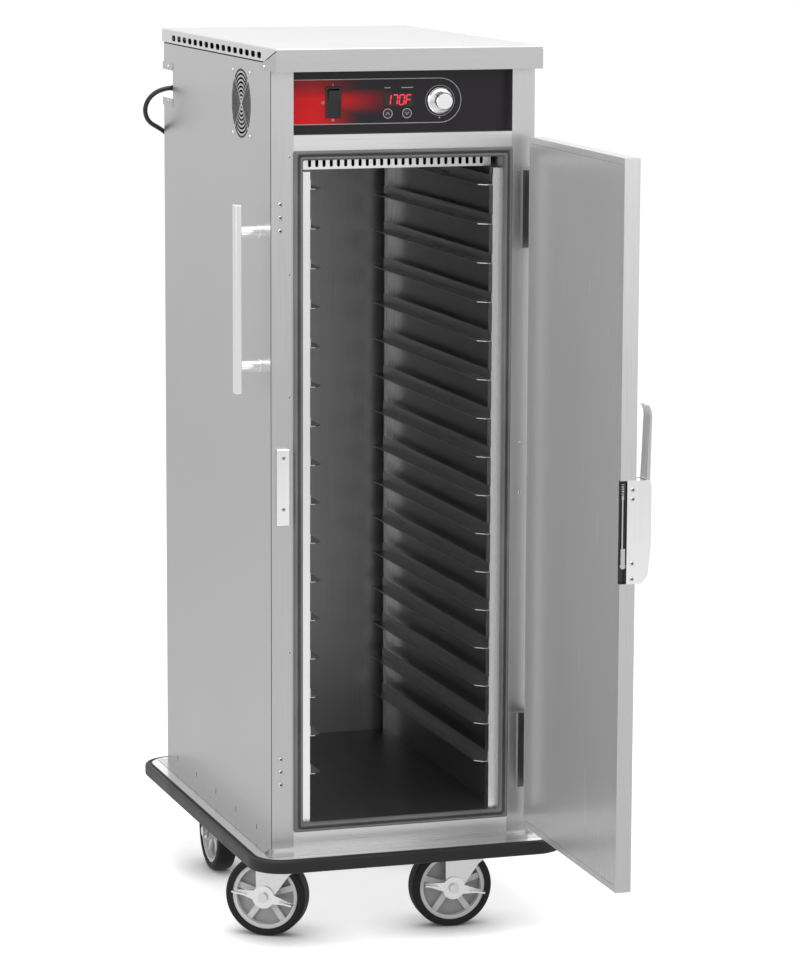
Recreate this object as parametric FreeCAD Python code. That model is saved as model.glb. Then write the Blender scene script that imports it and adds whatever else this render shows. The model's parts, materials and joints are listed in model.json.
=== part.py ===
import FreeCAD, Part
import math
import os

# Heated holding cabinet on casters, in millimetres.
# +Z is up, the door side faces -Y, and the origin is on the floor under the middle of the body.

V = FreeCAD.Vector
X_AXIS, Y_AXIS, Z_AXIS = V(1, 0, 0), V(0, 1, 0), V(0, 0, 1)

# Body and sheet metal
BODY_W = 495.0
BODY_D = 744.0
DECK_TOP = 174.5
CAP_TOP = 1624.0
SHEET = 1.2
POST_W = 42.5
POST_DEPTH = 28.0
OPENING_BOTTOM = 220.0
HEAD_H = 199.5
SEAL_W = 17.0
HEADER_H = 28.0
WALL_REAR = 55.0
ROOF_INSULATION = 38.0

# Top cap and fascia
FLANGE_H = 26.0
CAP_REAR = 9.3
CAP_EDGE_R = 2.5
FASCIA_H = 41.0
FASCIA_OUT = 39.0
FASCIA_RETURN = 64.0
SEAM_BACK = 38.0
SEAM_DROP = 4.0
SEAM_GAP = 2.0
CAP_GAP = 2.5
CAP_GAP_ENDS = 6.0
PANEL_LAP = 3.0
VENT_PITCH = 39.73
VENT_FROM_BACK = 79.8
VENT_FROM_FRONT = 60.0
VENT_L = 26.0
VENT_H = 11.0
SLIT_PITCH = 142.0
SLIT_FROM_BACK = 79.0
SLIT_FROM_FRONT = 60.0
SLIT_W = 3.0
SLIT_H = 10.0
SLIT_LIFT = 14.0

# Control panel
PANEL_RECESS = 25.0
PANEL_T = 2.0
CONTROL_DROP = 99.0
SWITCH_X = -124.0
SWITCH_W = 28.6
SWITCH_H = 55.0
SWITCH_FRAME = 3.6
SWITCH_PROUD = 2.5
SWITCH_DEPTH = 18.0
ROCKER_TILT = 8.0
DISPLAY_X = -2.3
DISPLAY_W = 54.0
DISPLAY_H = 24.0
DISPLAY_LIFT = 2.4
DISPLAY_PROUD = 0.6
BUTTONS_X = -4.7
BUTTON_SPACING = 36.0
BUTTON_DROP = 21.8
BUTTON_R = 10.0
BUTTON_PROUD = 1.4
KNOB_X = 76.0
KNOB_SKIRT_R = 24.0
KNOB_SKIRT_T = 5.0
KNOB_CAP_R = 15.5
KNOB_L = 29.0
SHAFT_R = 3.0
BOARD_GAP = 22.0
BOARD_T = 1.6
BOARD_H = 84.0
BOARD_MARGIN = 18.0

# Fans and heat
FAN_FROM_FRONT = 190.0
FAN_DROP = 109.5
FAN_SIZE = 127.0
FAN_T = 38.0
FAN_BORE_R = 60.0
FAN_HUB_R = 23.0
FAN_BLADES = 7
GRILLE_RINGS = 8
GRILLE_STEP = 7.6
GRILLE_SLOT = 4.0
GRILLE_BRIDGE = 6.0
DUCT_H = 20.0
DUCT_SIDE_GAP = 8.0
DUCT_FRONT = 45.0
DUCT_REAR = 22.0
COMB_PITCH = 13.5
COMB_SLOT = 6.0
COMB_LIP = 4.0
MOTOR_R = 46.0
MOTOR_H = 82.0
MOTOR_FLANGE = 12.0
BLOWER_R = 74.0
BLOWER_H = 12.0
BLOWER_BLADES = 12
HEATER_R = 3.2
HEATER_CLEAR = 14.0

# Rack
UPRIGHT_W = 16.0
UPRIGHT_D = 20.0
UPRIGHT_FRONT = 8.0
UPRIGHT_REAR = 40.0
LEVEL_PITCH = 71.0
LEVEL_LIFT = 87.0
LEDGE_W = 24.0
LEDGE_LIP = 18.0
LEDGE_T = 1.5
LEDGE_NOSE = 14.0

# Base, bumper and casters
BASE_SIDE = 52.5
BASE_FRONT = 93.0
BASE_REAR = 32.5
DECK_T = 6.5
DECK_R = 50.0
SKIRT_H = 16.0
SKIRT_T = 2.5
TROUGH_DEPTH = 4.5
TROUGH_EDGE = 19.0
BUMPER_T = 14.0
BUMPER_H = 24.0
BUMPER_DROP = 0.5
BUMPER_EDGE_R = 5.0
BUMPER_GROOVE = 1.5
WHEEL_R = 76.0
TREAD_W = 38.0
TREAD_EDGE_R = 7.0
RIM_R = 62.0
RIM_T = 7.0
RIM_W = 33.0
WEB_T = 5.0
SPOKES = 5
SPOKE_W = 11.0
SPOKE_T = 20.0
HUB_R = 17.0
AXLE_R = 5.0
AXLE_HEAD_R = 9.0
AXLE_HEAD_T = 6.0
LEG_T = 4.0
LEG_TIP_R = 15.0
LEG_GAP = 3.0
CROWN_T = 7.0
CROWN_R = 32.0
RACE_R = 28.0
RACE_H = 7.0
PLATE_T = 4.0
PLATE_L = 92.0
KING_R = 6.0
KING_NUT_R = 10.0
KING_NUT_T = 6.0
TRAIL = 74.0
FRONT_CASTER_FROM_SIDE = 124.0
FRONT_CASTER_FROM_FRONT = 110.0
REAR_CASTER_FROM_SIDE = 99.0
REAR_CASTER_FROM_REAR = 239.5
SWIVEL_LEFT = -33.0
SWIVEL_RIGHT = -3.0
BRAKE_T = 3.0
BRAKE_HUB_R = 21.0
BRAKE_L = 58.0
BRAKE_W = 24.0
BRAKE_FOOT = 11.0
BRAKE_TREAD = 26.0
BRAKE_TILT = 10.0

# Door, hinges and latch
DOOR_GAP = 10.5
DOOR_T = 28.4
DOOR_TOP_LAP = 20.5
DOOR_BOTTOM_LAP = 7.0
DOOR_REST = 89.0
INNER_MARGIN = 11.0
INNER_T = 1.2
INNER_SEAM = 0.5
DOOR_EDGE_R = 1.5
HINGE_INSET = 133.0
HINGE_H = 140.0
HINGE_PLATE_T = 3.0
HINGE_LEAF_W = 39.0
HINGE_STEP_W = 24.0
HINGE_STEP_T = 8.4
HINGE_OUT_X = 5.5
HINGE_OUT_Y = 3.0
KNUCKLE_R = 5.5
HINGE_PIN_R = 3.0
KNUCKLE_SHARE = 0.42
LATCH_BELOW_MIDDLE = 2.6
LATCH_H = 178.0
LATCH_PLATE_T = 2.0
LATCH_W = 40.0
LATCH_OUT = 27.0
LATCH_CHEEK = 3.0
LATCH_NOTCH_W = 8.5
LATCH_NOTCH_D = 12.5
LATCH_WALL = 1.2
LATCH_PIN_R = 3.0
LATCH_PIN_OUT = 19.5
LATCH_PIN_DROP = 12.0
LEVER_T = 9.0
LEVER_TOP = 217.0
LEVER_LEAN = 6.0
LEVER_CURL = 6.0
LEVER_CURL_H = 20.0
LEVER_TIP_T = 4.0
CATCH_DROP = 54.0
CATCH_BLOCK_H = 26.0
CATCH_BLOCK_T = 8.0
CATCH_ROD_R = 1.6
CATCH_ROD_L = 92.0
ROLLER_R = 5.0
STRIKE_W = 24.2
STRIKE_H = 139.0
STRIKE_OUT = 9.8
STRIKE_LIFT = 14.2
STRIKE_FROM_SIDE = 9.0
STRIKE_EDGE_R = 2.0

# Side handles
HANDLE_DROP = 451.0
HANDLE_L = 340.0
HANDLE_D = 24.0
HANDLE_T = 11.0
HANDLE_OUT = 48.0
HANDLE_FROM_FRONT = 68.0
STANDOFF_SPACING = 242.0
STANDOFF_R = 10.5
STANDOFF_FOOT_R = 11.5
STANDOFF_FOOT_T = 2.5

# Cord
POCKET_D = 68.0
POCKET_W = 52.0
POCKET_H = 74.0
POCKET_DROP = 105.5
POCKET_TAB = 15.0
POCKET_TAB_LAP = 10.0
POCKET_TAB_OUT = 5.0
HEM_W = 6.0
GLAND_R = 9.0
GLAND_L = 17.0
GLAND_NUT_R = 12.0
GLAND_NUT_T = 6.0
GLAND_FROM_BACK = 46.0
GLAND_DROP = 7.0
CORD_R = 4.5
CORD_SWAY = 6.0
CORD_STEP = 125.0
PLUG_BODY_L = 38.0
PLUG_R = 15.0
PLUG_NECK_L = 22.0
PLUG_NECK_R = 8.0
BLADE_L = 17.0

# Clearances
RUN_GAP = 0.05
SLIDE_GAP = 0.3
FIT_GAP = 0.2

SIDE = BODY_W / 2
FRONT = -BODY_D / 2
BACK = BODY_D / 2
INNER_SIDE = SIDE - SHEET
INNER_BACK = BACK - SHEET
POST_INNER = SIDE - POST_W
OPENING_W = BODY_W - 2 * (POST_W + SEAL_W)
OPENING = OPENING_W / 2
OPENING_TOP = CAP_TOP - HEAD_H
HEADER_BOTTOM = OPENING_TOP + SEAL_W
HEADER_TOP = HEADER_BOTTOM + HEADER_H
SILL_TOP = OPENING_BOTTOM - SEAL_W
FASCIA_BOTTOM = CAP_TOP - FASCIA_H
FASCIA_FRONT = FRONT - FASCIA_OUT
PANEL_TOP = CAP_TOP - FLANGE_H + PANEL_LAP
PANEL_FACE = FRONT + PANEL_RECESS
CAVITY_BACK = BACK - WALL_REAR
ROOF_TOP = OPENING_TOP + SHEET + ROOF_INSULATION
DECK_UNDER = DECK_TOP - DECK_T
DUCT_BOTTOM = OPENING_TOP - DUCT_H
VENT_COUNT = int((BODY_D - VENT_FROM_BACK - VENT_FROM_FRONT) / VENT_PITCH) + 1
SLIT_COUNT = int((BODY_D - SLIT_FROM_BACK - SLIT_FROM_FRONT) / SLIT_PITCH) + 1
LEVEL_FIRST = OPENING_BOTTOM + LEVEL_LIFT
LEVELS = int((DUCT_BOTTOM - LEDGE_LIP - LEVEL_FIRST) / LEVEL_PITCH) + 1

DOOR_IN = FRONT - DOOR_GAP
DOOR_OUT = DOOR_IN - DOOR_T
DOOR_TOP = HEADER_BOTTOM + DOOR_TOP_LAP
DOOR_BOTTOM = SILL_TOP - DOOR_BOTTOM_LAP
HINGE_X = SIDE + HINGE_OUT_X
HINGE_Y = DOOR_OUT - HINGE_OUT_Y
HINGE_HEIGHTS = [DOOR_BOTTOM + HINGE_INSET, DOOR_TOP - HINGE_INSET]
LATCH_Z = (DOOR_TOP + DOOR_BOTTOM) / 2 - LATCH_BELOW_MIDDLE
LATCH_PIN_Y = DOOR_OUT - LATCH_PIN_OUT
LATCH_PIN_Z = LATCH_Z - LATCH_PIN_DROP

AXLE_Z = WHEEL_R
FORK_IN = TREAD_W / 2 + LEG_GAP
FORK_OUT = FORK_IN + LEG_T
CROWN_TOP = DECK_UNDER - PLATE_T - RACE_H - SLIDE_GAP
CROWN_BOTTOM = CROWN_TOP - CROWN_T
FRONT_CASTER_X = SIDE + BASE_SIDE - FRONT_CASTER_FROM_SIDE
FRONT_CASTER_Y = FRONT - BASE_FRONT + FRONT_CASTER_FROM_FRONT
REAR_CASTER_X = SIDE + BASE_SIDE - REAR_CASTER_FROM_SIDE
REAR_CASTER_Y = BACK + BASE_REAR - REAR_CASTER_FROM_REAR

CONTROL_Z = CAP_TOP - CONTROL_DROP
DISPLAY_Z = CONTROL_Z + DISPLAY_LIFT
BUTTON_Z = CONTROL_Z - BUTTON_DROP
FAN_Z = CAP_TOP - FAN_DROP
HANDLE_Z = CAP_TOP - HANDLE_DROP
POCKET_Z = CAP_TOP - POCKET_DROP
POCKET_LOW = POCKET_Z - POCKET_H / 2
POCKET_HIGH = POCKET_Z + POCKET_H / 2
POCKET_INNER = -SIDE + POCKET_W
POCKET_FRONT = BACK - POCKET_D
GLAND_Y = BACK - GLAND_FROM_BACK
GLAND_Z = POCKET_Z - GLAND_DROP
GLAND_FACE = POCKET_INNER - GLAND_L


def box(x0, x1, y0, y1, z0, z1):
    return Part.makeBox(x1 - x0, y1 - y0, z1 - z0, V(x0, y0, z0))


def rod(start, axis, radius, length):
    return Part.makeCylinder(radius, length, start, axis)


def fused(shapes):
    return shapes[0].multiFuse(shapes[1:]).removeSplitter() if len(shapes) > 1 else shapes[0]


def prism(points, plane, low, high):
    """A straight-sided profile drawn in the xy, xz or yz plane, drawn out along the third axis."""
    place = {"xy": lambda a, b: V(a, b, low), "xz": lambda a, b: V(a, low, b),
             "yz": lambda a, b: V(low, a, b)}
    along = {"xy": Z_AXIS, "xz": Y_AXIS, "yz": X_AXIS}
    corners = [place[plane](a, b) for a, b in points]
    face = Part.Face(Part.makePolygon(corners + corners[:1]))
    return face.extrude(along[plane] * (high - low))


def rounded_slab(x0, x1, y0, y1, z0, z1, radius):
    """A flat slab whose upright corners are rounded."""
    slab = box(x0, x1, y0, y1, z0, z1)
    upright = [e for e in slab.Edges if abs(e.Vertexes[0].Z - e.Vertexes[1].Z) > 1e-6]
    return slab.makeFillet(radius, upright)


def stadium_x(x0, x1, y, z, length, height):
    """A through cut along X with a round-ended outline, longest along Y."""
    half = (length - height) / 2
    cut = box(x0, x1, y - half, y + half, z - height / 2, z + height / 2)
    ends = [rod(V(x0, y + s * half, z), X_AXIS, height / 2, x1 - x0) for s in (-1, 1)]
    return cut.multiFuse(ends)


def mirrored(shape):
    return shape.mirror(V(0, 0, 0), X_AXIS)


def ring(centre, axis, outer, inner, length):
    return rod(centre, axis, outer, length).cut(rod(centre, axis, inner, length))


def swung(shape):
    """Turns a piece of the closed door to the angle at which the door stands open."""
    return shape.rotated(V(HINGE_X, HINGE_Y, 0), Z_AXIS, DOOR_REST)


def fan_centre():
    return FRONT + FAN_FROM_FRONT, FAN_Z


def grille_cuts():
    """Concentric slots with bridges left between them, through the left side sheet."""
    y, z = fan_centre()
    start = V(-SIDE - SHEET, y, z)
    half = GRILLE_SLOT / 2
    rings = [ring(start, X_AXIS, n * GRILLE_STEP + half, n * GRILLE_STEP - half, 3 * SHEET)
             for n in range(1, GRILLE_RINGS + 1)]
    reach = GRILLE_RINGS * GRILLE_STEP + GRILLE_SLOT
    bar = box(-SIDE - SHEET, -SIDE + 2 * SHEET, y - reach, y + reach,
              z - GRILLE_BRIDGE / 2, z + GRILLE_BRIDGE / 2)
    bars = [bar.rotated(V(0, y, z), X_AXIS, turn) for turn in (45, 135)]
    return Part.makeCompound(rings).cut(Part.makeCompound(bars))


def slit_cuts():
    cuts = []
    for n in range(SLIT_COUNT):
        y = BACK - SLIT_FROM_BACK - n * SLIT_PITCH
        z = DECK_TOP + SLIT_LIFT
        cuts.append(box(-SIDE - SHEET, -SIDE + 2 * SHEET, y - SLIT_W / 2, y + SLIT_W / 2, z, z + SLIT_H))
    return Part.makeCompound(cuts)


def side_sheet():
    """Side sheet, with a long air gap left under the flange of the cap."""
    sheet = box(-SIDE, -INNER_SIDE, FRONT, BACK, DECK_TOP, PANEL_TOP)
    flange = CAP_TOP - FLANGE_H
    gap = box(-SIDE - SHEET, -INNER_SIDE + SHEET, FRONT + SEAM_BACK + CAP_GAP_ENDS, BACK - CAP_GAP_ENDS,
              flange - CAP_GAP, flange)
    return sheet.cut(slit_cuts()).cut(gap)


def side_panel_left():
    """Left sheet, hemmed round the notch where the cord comes out."""
    notch = box(-SIDE - SHEET, -INNER_SIDE + 2 * SHEET, POCKET_FRONT, BACK + SHEET, POCKET_LOW, POCKET_HIGH)
    hem = box(-INNER_SIDE, -INNER_SIDE + SHEET, POCKET_FRONT - HEM_W, INNER_BACK,
              POCKET_LOW - HEM_W, POCKET_HIGH + HEM_W)
    return fused([side_sheet(), hem]).cut(notch).cut(grille_cuts())


def side_panel_right():
    return mirrored(side_sheet())


def rear_panel():
    """Rear sheet, hemmed round the same notch."""
    panel = box(-INNER_SIDE, INNER_SIDE, INNER_BACK, BACK, DECK_TOP, PANEL_TOP)
    hem = box(-INNER_SIDE + SHEET, POCKET_INNER + HEM_W, INNER_BACK - SHEET, INNER_BACK,
              POCKET_LOW - HEM_W, POCKET_HIGH + HEM_W)
    return fused([panel, hem]).cut(box(-SIDE, POCKET_INNER, INNER_BACK - 2 * SHEET, BACK + SHEET,
                                       POCKET_LOW, POCKET_HIGH))


def front_posts():
    """Two upright channels that stiffen the front corners and carry hinges and strike."""
    channel = box(-INNER_SIDE, -POST_INNER, FRONT, FRONT + POST_DEPTH, DECK_TOP, FASCIA_BOTTOM)
    hollow = box(-INNER_SIDE + SHEET, -POST_INNER - SHEET, FRONT + SHEET, FRONT + POST_DEPTH,
                 DECK_TOP, FASCIA_BOTTOM)
    post = channel.cut(hollow)
    return Part.makeCompound([post, mirrored(post)])


def frame_rails():
    """Header and sill channels between the posts."""
    rails = []
    for low, high in ((HEADER_BOTTOM, HEADER_TOP), (DECK_TOP, SILL_TOP)):
        rail = box(-POST_INNER, POST_INNER, FRONT, FRONT + POST_DEPTH - SHEET, low, high)
        rails.append(rail.cut(box(-POST_INNER, POST_INNER, FRONT + SHEET, FRONT + POST_DEPTH,
                                  low + SHEET, high - SHEET)))
    return Part.makeCompound(rails)


def hood():
    """Cap and fascia as one folded shell, before the seam parts them."""
    out_side = SIDE + SHEET
    back = BACK + CAP_REAR
    cap = box(-out_side, out_side, FASCIA_FRONT, back, CAP_TOP - FLANGE_H, CAP_TOP)
    brow = box(-out_side, out_side, FASCIA_FRONT, FRONT + FASCIA_RETURN, FASCIA_BOTTOM, CAP_TOP)
    block = fused([cap, brow])
    rim = [e for e in block.Edges if min(v.Z for v in e.Vertexes) > CAP_TOP - 1e-3]
    block = block.makeFillet(CAP_EDGE_R, rim)
    return block.cut(box(-SIDE, SIDE, FASCIA_FRONT + SHEET, back - SHEET,
                         FASCIA_BOTTOM - SHEET, CAP_TOP - SHEET))


def fascia_region(gap):
    """What lies in front of and below the slanted seam at each end of the cap."""
    reach = SIDE + 2 * SHEET
    low = FASCIA_BOTTOM - SHEET
    ahead = FASCIA_FRONT - SHEET
    behind = FRONT + FASCIA_RETURN + SHEET
    flange = CAP_TOP - FLANGE_H - gap
    outline = [(ahead, low), (behind, low), (behind, flange), (FRONT + SEAM_BACK, flange),
               (FASCIA_FRONT, CAP_TOP - SEAM_DROP - gap), (ahead, CAP_TOP - SEAM_DROP - gap)]
    return prism(outline, "yz", -reach, reach)


def top_cap():
    cap = hood().cut(fascia_region(0))
    slots = [stadium_x(-SIDE - 2 * SHEET, SIDE + 2 * SHEET, BACK - VENT_FROM_BACK - n * VENT_PITCH,
                       CAP_TOP - FLANGE_H / 2 - PANEL_LAP, VENT_L, VENT_H) for n in range(VENT_COUNT)]
    return cap.cut(Part.makeCompound(slots))


def fascia():
    lip = box(-INNER_SIDE, INNER_SIDE, FASCIA_FRONT + SHEET, PANEL_FACE + PANEL_T,
              FASCIA_BOTTOM, FASCIA_BOTTOM + SHEET)
    return fused([hood().common(fascia_region(SEAM_GAP)), lip])


def liner_walls():
    """Left, right and rear walls of the heated space, the side walls with a front flange for the seal."""
    left = box(-OPENING - SHEET, -OPENING, FRONT + SHEET, CAVITY_BACK + SHEET, OPENING_BOTTOM, OPENING_TOP)
    flange = box(-POST_INNER, -OPENING, FRONT, FRONT + SHEET, SILL_TOP, HEADER_BOTTOM)
    left = fused([left, flange])
    rear = box(-OPENING, OPENING, CAVITY_BACK, CAVITY_BACK + SHEET, OPENING_BOTTOM, OPENING_TOP)
    return Part.makeCompound([left, mirrored(left), rear])


def liner_panels():
    """Ceiling and floor of the heated space, each with a front flange for the seal."""
    wall = OPENING + SHEET
    start, end = FRONT + SHEET, CAVITY_BACK + SHEET
    ceiling = fused([box(-wall, wall, start, end, OPENING_TOP, OPENING_TOP + SHEET),
                     box(-OPENING, OPENING, FRONT, start, OPENING_TOP, HEADER_BOTTOM)])
    ceiling = ceiling.cut(rod(V(0, 0, OPENING_TOP - SHEET), Z_AXIS, 3 * SHAFT_R, 3 * SHEET))
    floor = fused([box(-wall, wall, start, end, OPENING_BOTTOM - SHEET, OPENING_BOTTOM),
                   box(-OPENING, OPENING, FRONT, start, SILL_TOP, OPENING_BOTTOM)])
    return Part.makeCompound([ceiling, floor])


def insulation():
    start = FRONT + POST_DEPTH
    wall = OPENING + SHEET
    roof = box(-wall, wall, start, CAVITY_BACK + SHEET, OPENING_TOP + SHEET, ROOF_TOP)
    roof = roof.cut(rod(V(0, 0, OPENING_TOP), Z_AXIS, 3 * SHAFT_R, ROOF_INSULATION + 2 * SHEET))
    left = box(-INNER_SIDE, -wall, start, INNER_BACK, DECK_TOP, OPENING_TOP)
    rear = box(-wall, wall, CAVITY_BACK + SHEET, INNER_BACK, DECK_TOP, OPENING_TOP)
    floor = box(-wall, wall, start, CAVITY_BACK + SHEET, DECK_TOP, OPENING_BOTTOM - SHEET)
    return Part.makeCompound([left, mirrored(left), rear, floor, roof])


def seal_section(width, height):
    """A flat foot with two soft lips, across and away from the face it seats on."""
    foot = height * 0.3
    lip = width * 0.36
    left = [(width / 2, foot), (lip, height * 0.8), (lip * 0.5, height),
            (lip * 0.15, height * 0.85), (0, foot)]
    right = [(width - a, b) for a, b in left[:0:-1]]
    return [(0, 0), (width, 0)] + right + left


def door_gasket():
    """Four mitred lengths of double-lipped seal round the opening."""
    tall = DOOR_GAP - SLIDE_GAP
    w = POST_INNER - OPENING
    across, low, high = POST_INNER, SILL_TOP, HEADER_BOTTOM
    left = prism([(-across + a, FRONT - b) for a, b in seal_section(w, tall)], "xy", low, high)
    left = left.common(prism([(-across, low), (-across + w, low + SEAL_W), (-across + w, high - SEAL_W),
                              (-across, high)], "xz", FRONT - tall, FRONT))
    bottom = prism([(FRONT - b, low + a) for a, b in seal_section(SEAL_W, tall)], "yz", -across, across)
    bottom = bottom.common(prism([(-across, low), (across, low), (across - w, low + SEAL_W),
                                  (-across + w, low + SEAL_W)], "xz", FRONT - tall, FRONT))
    middle = V(0, 0, (low + high) / 2)
    return Part.makeCompound([left, mirrored(left), bottom, bottom.mirror(middle, Z_AXIS)])


def control_panel():
    plate = box(-POST_INNER, POST_INNER, PANEL_FACE, PANEL_FACE + PANEL_T, HEADER_TOP, FASCIA_BOTTOM)
    back = PANEL_FACE - PANEL_T
    deep = 3 * PANEL_T
    inner_w = SWITCH_W / 2 - SWITCH_FRAME / 2
    inner_h = SWITCH_H / 2 - SWITCH_FRAME / 2
    cuts = [box(SWITCH_X - inner_w, SWITCH_X + inner_w, back, back + deep,
                CONTROL_Z - inner_h, CONTROL_Z + inner_h),
            box(DISPLAY_X - DISPLAY_W / 2 - FIT_GAP, DISPLAY_X + DISPLAY_W / 2 + FIT_GAP, back, back + deep,
                DISPLAY_Z - DISPLAY_H / 2 - FIT_GAP, DISPLAY_Z + DISPLAY_H / 2 + FIT_GAP),
            rod(V(KNOB_X, back, CONTROL_Z), Y_AXIS, SHAFT_R + SHEET, deep)]
    for x in button_places():
        cuts.append(rod(V(x, back, BUTTON_Z), Y_AXIS, BUTTON_R + SLIDE_GAP, deep))
    return plate.cut(Part.makeCompound(cuts))


def button_places():
    return BUTTONS_X - BUTTON_SPACING / 2, BUTTONS_X + BUTTON_SPACING / 2


def display_window():
    return box(DISPLAY_X - DISPLAY_W / 2, DISPLAY_X + DISPLAY_W / 2, PANEL_FACE - DISPLAY_PROUD,
               PANEL_FACE + PANEL_T, DISPLAY_Z - DISPLAY_H / 2, DISPLAY_Z + DISPLAY_H / 2)


def switch_bezel():
    """Frame and open tub of the power switch, with the pin that its rocker turns on."""
    frame = box(SWITCH_X - SWITCH_W / 2, SWITCH_X + SWITCH_W / 2, PANEL_FACE - SWITCH_PROUD, PANEL_FACE,
                CONTROL_Z - SWITCH_H / 2, CONTROL_Z + SWITCH_H / 2)
    front = [e for e in frame.Edges if max(v.Y for v in e.Vertexes) < PANEL_FACE - SWITCH_PROUD / 2]
    frame = frame.makeChamfer(SWITCH_PROUD / 3, front)
    out_w = SWITCH_W / 2 - SWITCH_FRAME / 2 - FIT_GAP
    out_h = SWITCH_H / 2 - SWITCH_FRAME / 2 - FIT_GAP
    tub = box(SWITCH_X - out_w, SWITCH_X + out_w, PANEL_FACE, PANEL_FACE + SWITCH_DEPTH,
              CONTROL_Z - out_h, CONTROL_Z + out_h)
    in_w = SWITCH_W / 2 - SWITCH_FRAME
    in_h = SWITCH_H / 2 - SWITCH_FRAME
    well = box(SWITCH_X - in_w, SWITCH_X + in_w, PANEL_FACE - 2 * SWITCH_PROUD,
               PANEL_FACE + SWITCH_DEPTH - SHEET, CONTROL_Z - in_h, CONTROL_Z + in_h)
    pin = rod(V(SWITCH_X - in_w, PANEL_FACE + SWITCH_DEPTH / 3, CONTROL_Z), X_AXIS, SHEET, 2 * in_w)
    return fused([fused([frame, tub]).cut(well), pin])


def rocker():
    """A rocker with two dished faces, tipped to its lower side."""
    in_w = SWITCH_W / 2 - SWITCH_FRAME - SLIDE_GAP
    in_h = SWITCH_H / 2 - SWITCH_FRAME - 4 * SLIDE_GAP
    face = PANEL_FACE - SWITCH_PROUD * 1.2
    pivot = PANEL_FACE + SWITCH_DEPTH / 3
    outline = [(face - SHEET, CONTROL_Z - in_h), (face + SHEET, CONTROL_Z), (face - SHEET, CONTROL_Z + in_h),
               (pivot - 2 * SHEET, CONTROL_Z + in_h), (pivot + 2 * SHEET, CONTROL_Z + 4 * SHEET),
               (pivot + 2 * SHEET, CONTROL_Z - 4 * SHEET), (pivot - 2 * SHEET, CONTROL_Z - in_h)]
    block = prism(outline, "yz", SWITCH_X - in_w, SWITCH_X + in_w)
    bore = rod(V(SWITCH_X - in_w, pivot, CONTROL_Z), X_AXIS, SHEET + RUN_GAP, 2 * in_w)
    return block.cut(bore).rotated(V(SWITCH_X, pivot, CONTROL_Z), X_AXIS, ROCKER_TILT)


def button(x):
    cap = rod(V(x, PANEL_FACE - BUTTON_PROUD, BUTTON_Z), Y_AXIS, BUTTON_R, BUTTON_PROUD + PANEL_T + SHEET)
    front = [e for e in cap.Edges if max(v.Y for v in e.Vertexes) < PANEL_FACE - BUTTON_PROUD / 2]
    return cap.makeFillet(BUTTON_PROUD / 3, front)


def control_knob():
    """A turned cap on a wide skirt, bored for the control shaft."""
    tip = PANEL_FACE - KNOB_L
    base = PANEL_FACE - SLIDE_GAP
    skirt_edge = base - KNOB_SKIRT_T
    profile = [(0, tip), (KNOB_CAP_R - 1.5, tip), (KNOB_CAP_R, tip + 1.5),
               (KNOB_CAP_R + 1.0, skirt_edge - 1.0), (KNOB_SKIRT_R - 2.5, skirt_edge),
               (KNOB_SKIRT_R, skirt_edge + 2.0), (KNOB_SKIRT_R, base), (0, base)]
    corners = [V(KNOB_X + r, y, CONTROL_Z) for r, y in profile]
    body = Part.Face(Part.makePolygon(corners + corners[:1])).revolve(V(KNOB_X, 0, CONTROL_Z), Y_AXIS, 360)
    return body.cut(rod(V(KNOB_X, base - KNOB_L * 0.6, CONTROL_Z), Y_AXIS, SHAFT_R + RUN_GAP, KNOB_L))


def control_board():
    """Circuit board on pillars behind the panel, with the shaft that the knob turns on."""
    back = PANEL_FACE + PANEL_T
    face = back + BOARD_GAP
    low, high = CONTROL_Z - BOARD_H / 2, CONTROL_Z + BOARD_H / 2
    left = SWITCH_X + SWITCH_W
    right = POST_INNER - BOARD_MARGIN
    pieces = [box(left, right, face, face + BOARD_T, low, high)]
    inset = 2 * SHAFT_R
    for x in (left + inset, right - inset):
        for z in (low + inset, high - inset):
            pieces.append(rod(V(x, back, z), Y_AXIS, SHAFT_R, BOARD_GAP))
    pieces.append(box(KNOB_X - 4 * SHAFT_R, KNOB_X + 4 * SHAFT_R, back + SHEET, face,
                      CONTROL_Z - 4 * SHAFT_R, CONTROL_Z + 4 * SHAFT_R))
    reach = KNOB_L * 0.5
    pieces.append(rod(V(KNOB_X, PANEL_FACE - reach, CONTROL_Z), Y_AXIS, SHAFT_R, reach + PANEL_T + BOARD_GAP))
    half = DISPLAY_W / 2 - SHEET
    pieces.append(box(DISPLAY_X - half, DISPLAY_X + half, back, face,
                      DISPLAY_Z - DISPLAY_H / 2 + SHEET, DISPLAY_Z + DISPLAY_H / 2 - SHEET))
    return fused(pieces)


def cooling_fan_frame():
    """Square frame with a round duct, and three struts that carry the motor."""
    y, z = fan_centre()
    half = FAN_SIZE / 2
    x0 = -INNER_SIDE
    frame = box(x0, x0 + FAN_T, y - half, y + half, z - half, z + half)
    long_edges = [e for e in frame.Edges if abs(e.Vertexes[0].X - e.Vertexes[1].X) > 1]
    frame = frame.makeFillet(6.0, long_edges).cut(rod(V(x0, y, z), X_AXIS, FAN_BORE_R, FAN_T))
    strut_t = 4.0
    strut = box(x0 + FAN_T - strut_t, x0 + FAN_T, y - strut_t, y + strut_t, z, z + FAN_BORE_R + 1.0)
    pieces = [frame] + [strut.rotated(V(0, y, z), X_AXIS, 120 * n) for n in range(3)]
    pieces.append(rod(V(x0 + FAN_T - strut_t, y, z), X_AXIS, FAN_HUB_R, strut_t))
    pieces.append(rod(V(x0 + FAN_T / 4, y, z), X_AXIS, SHAFT_R, FAN_T * 3 / 4))
    return fused(pieces)


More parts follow.
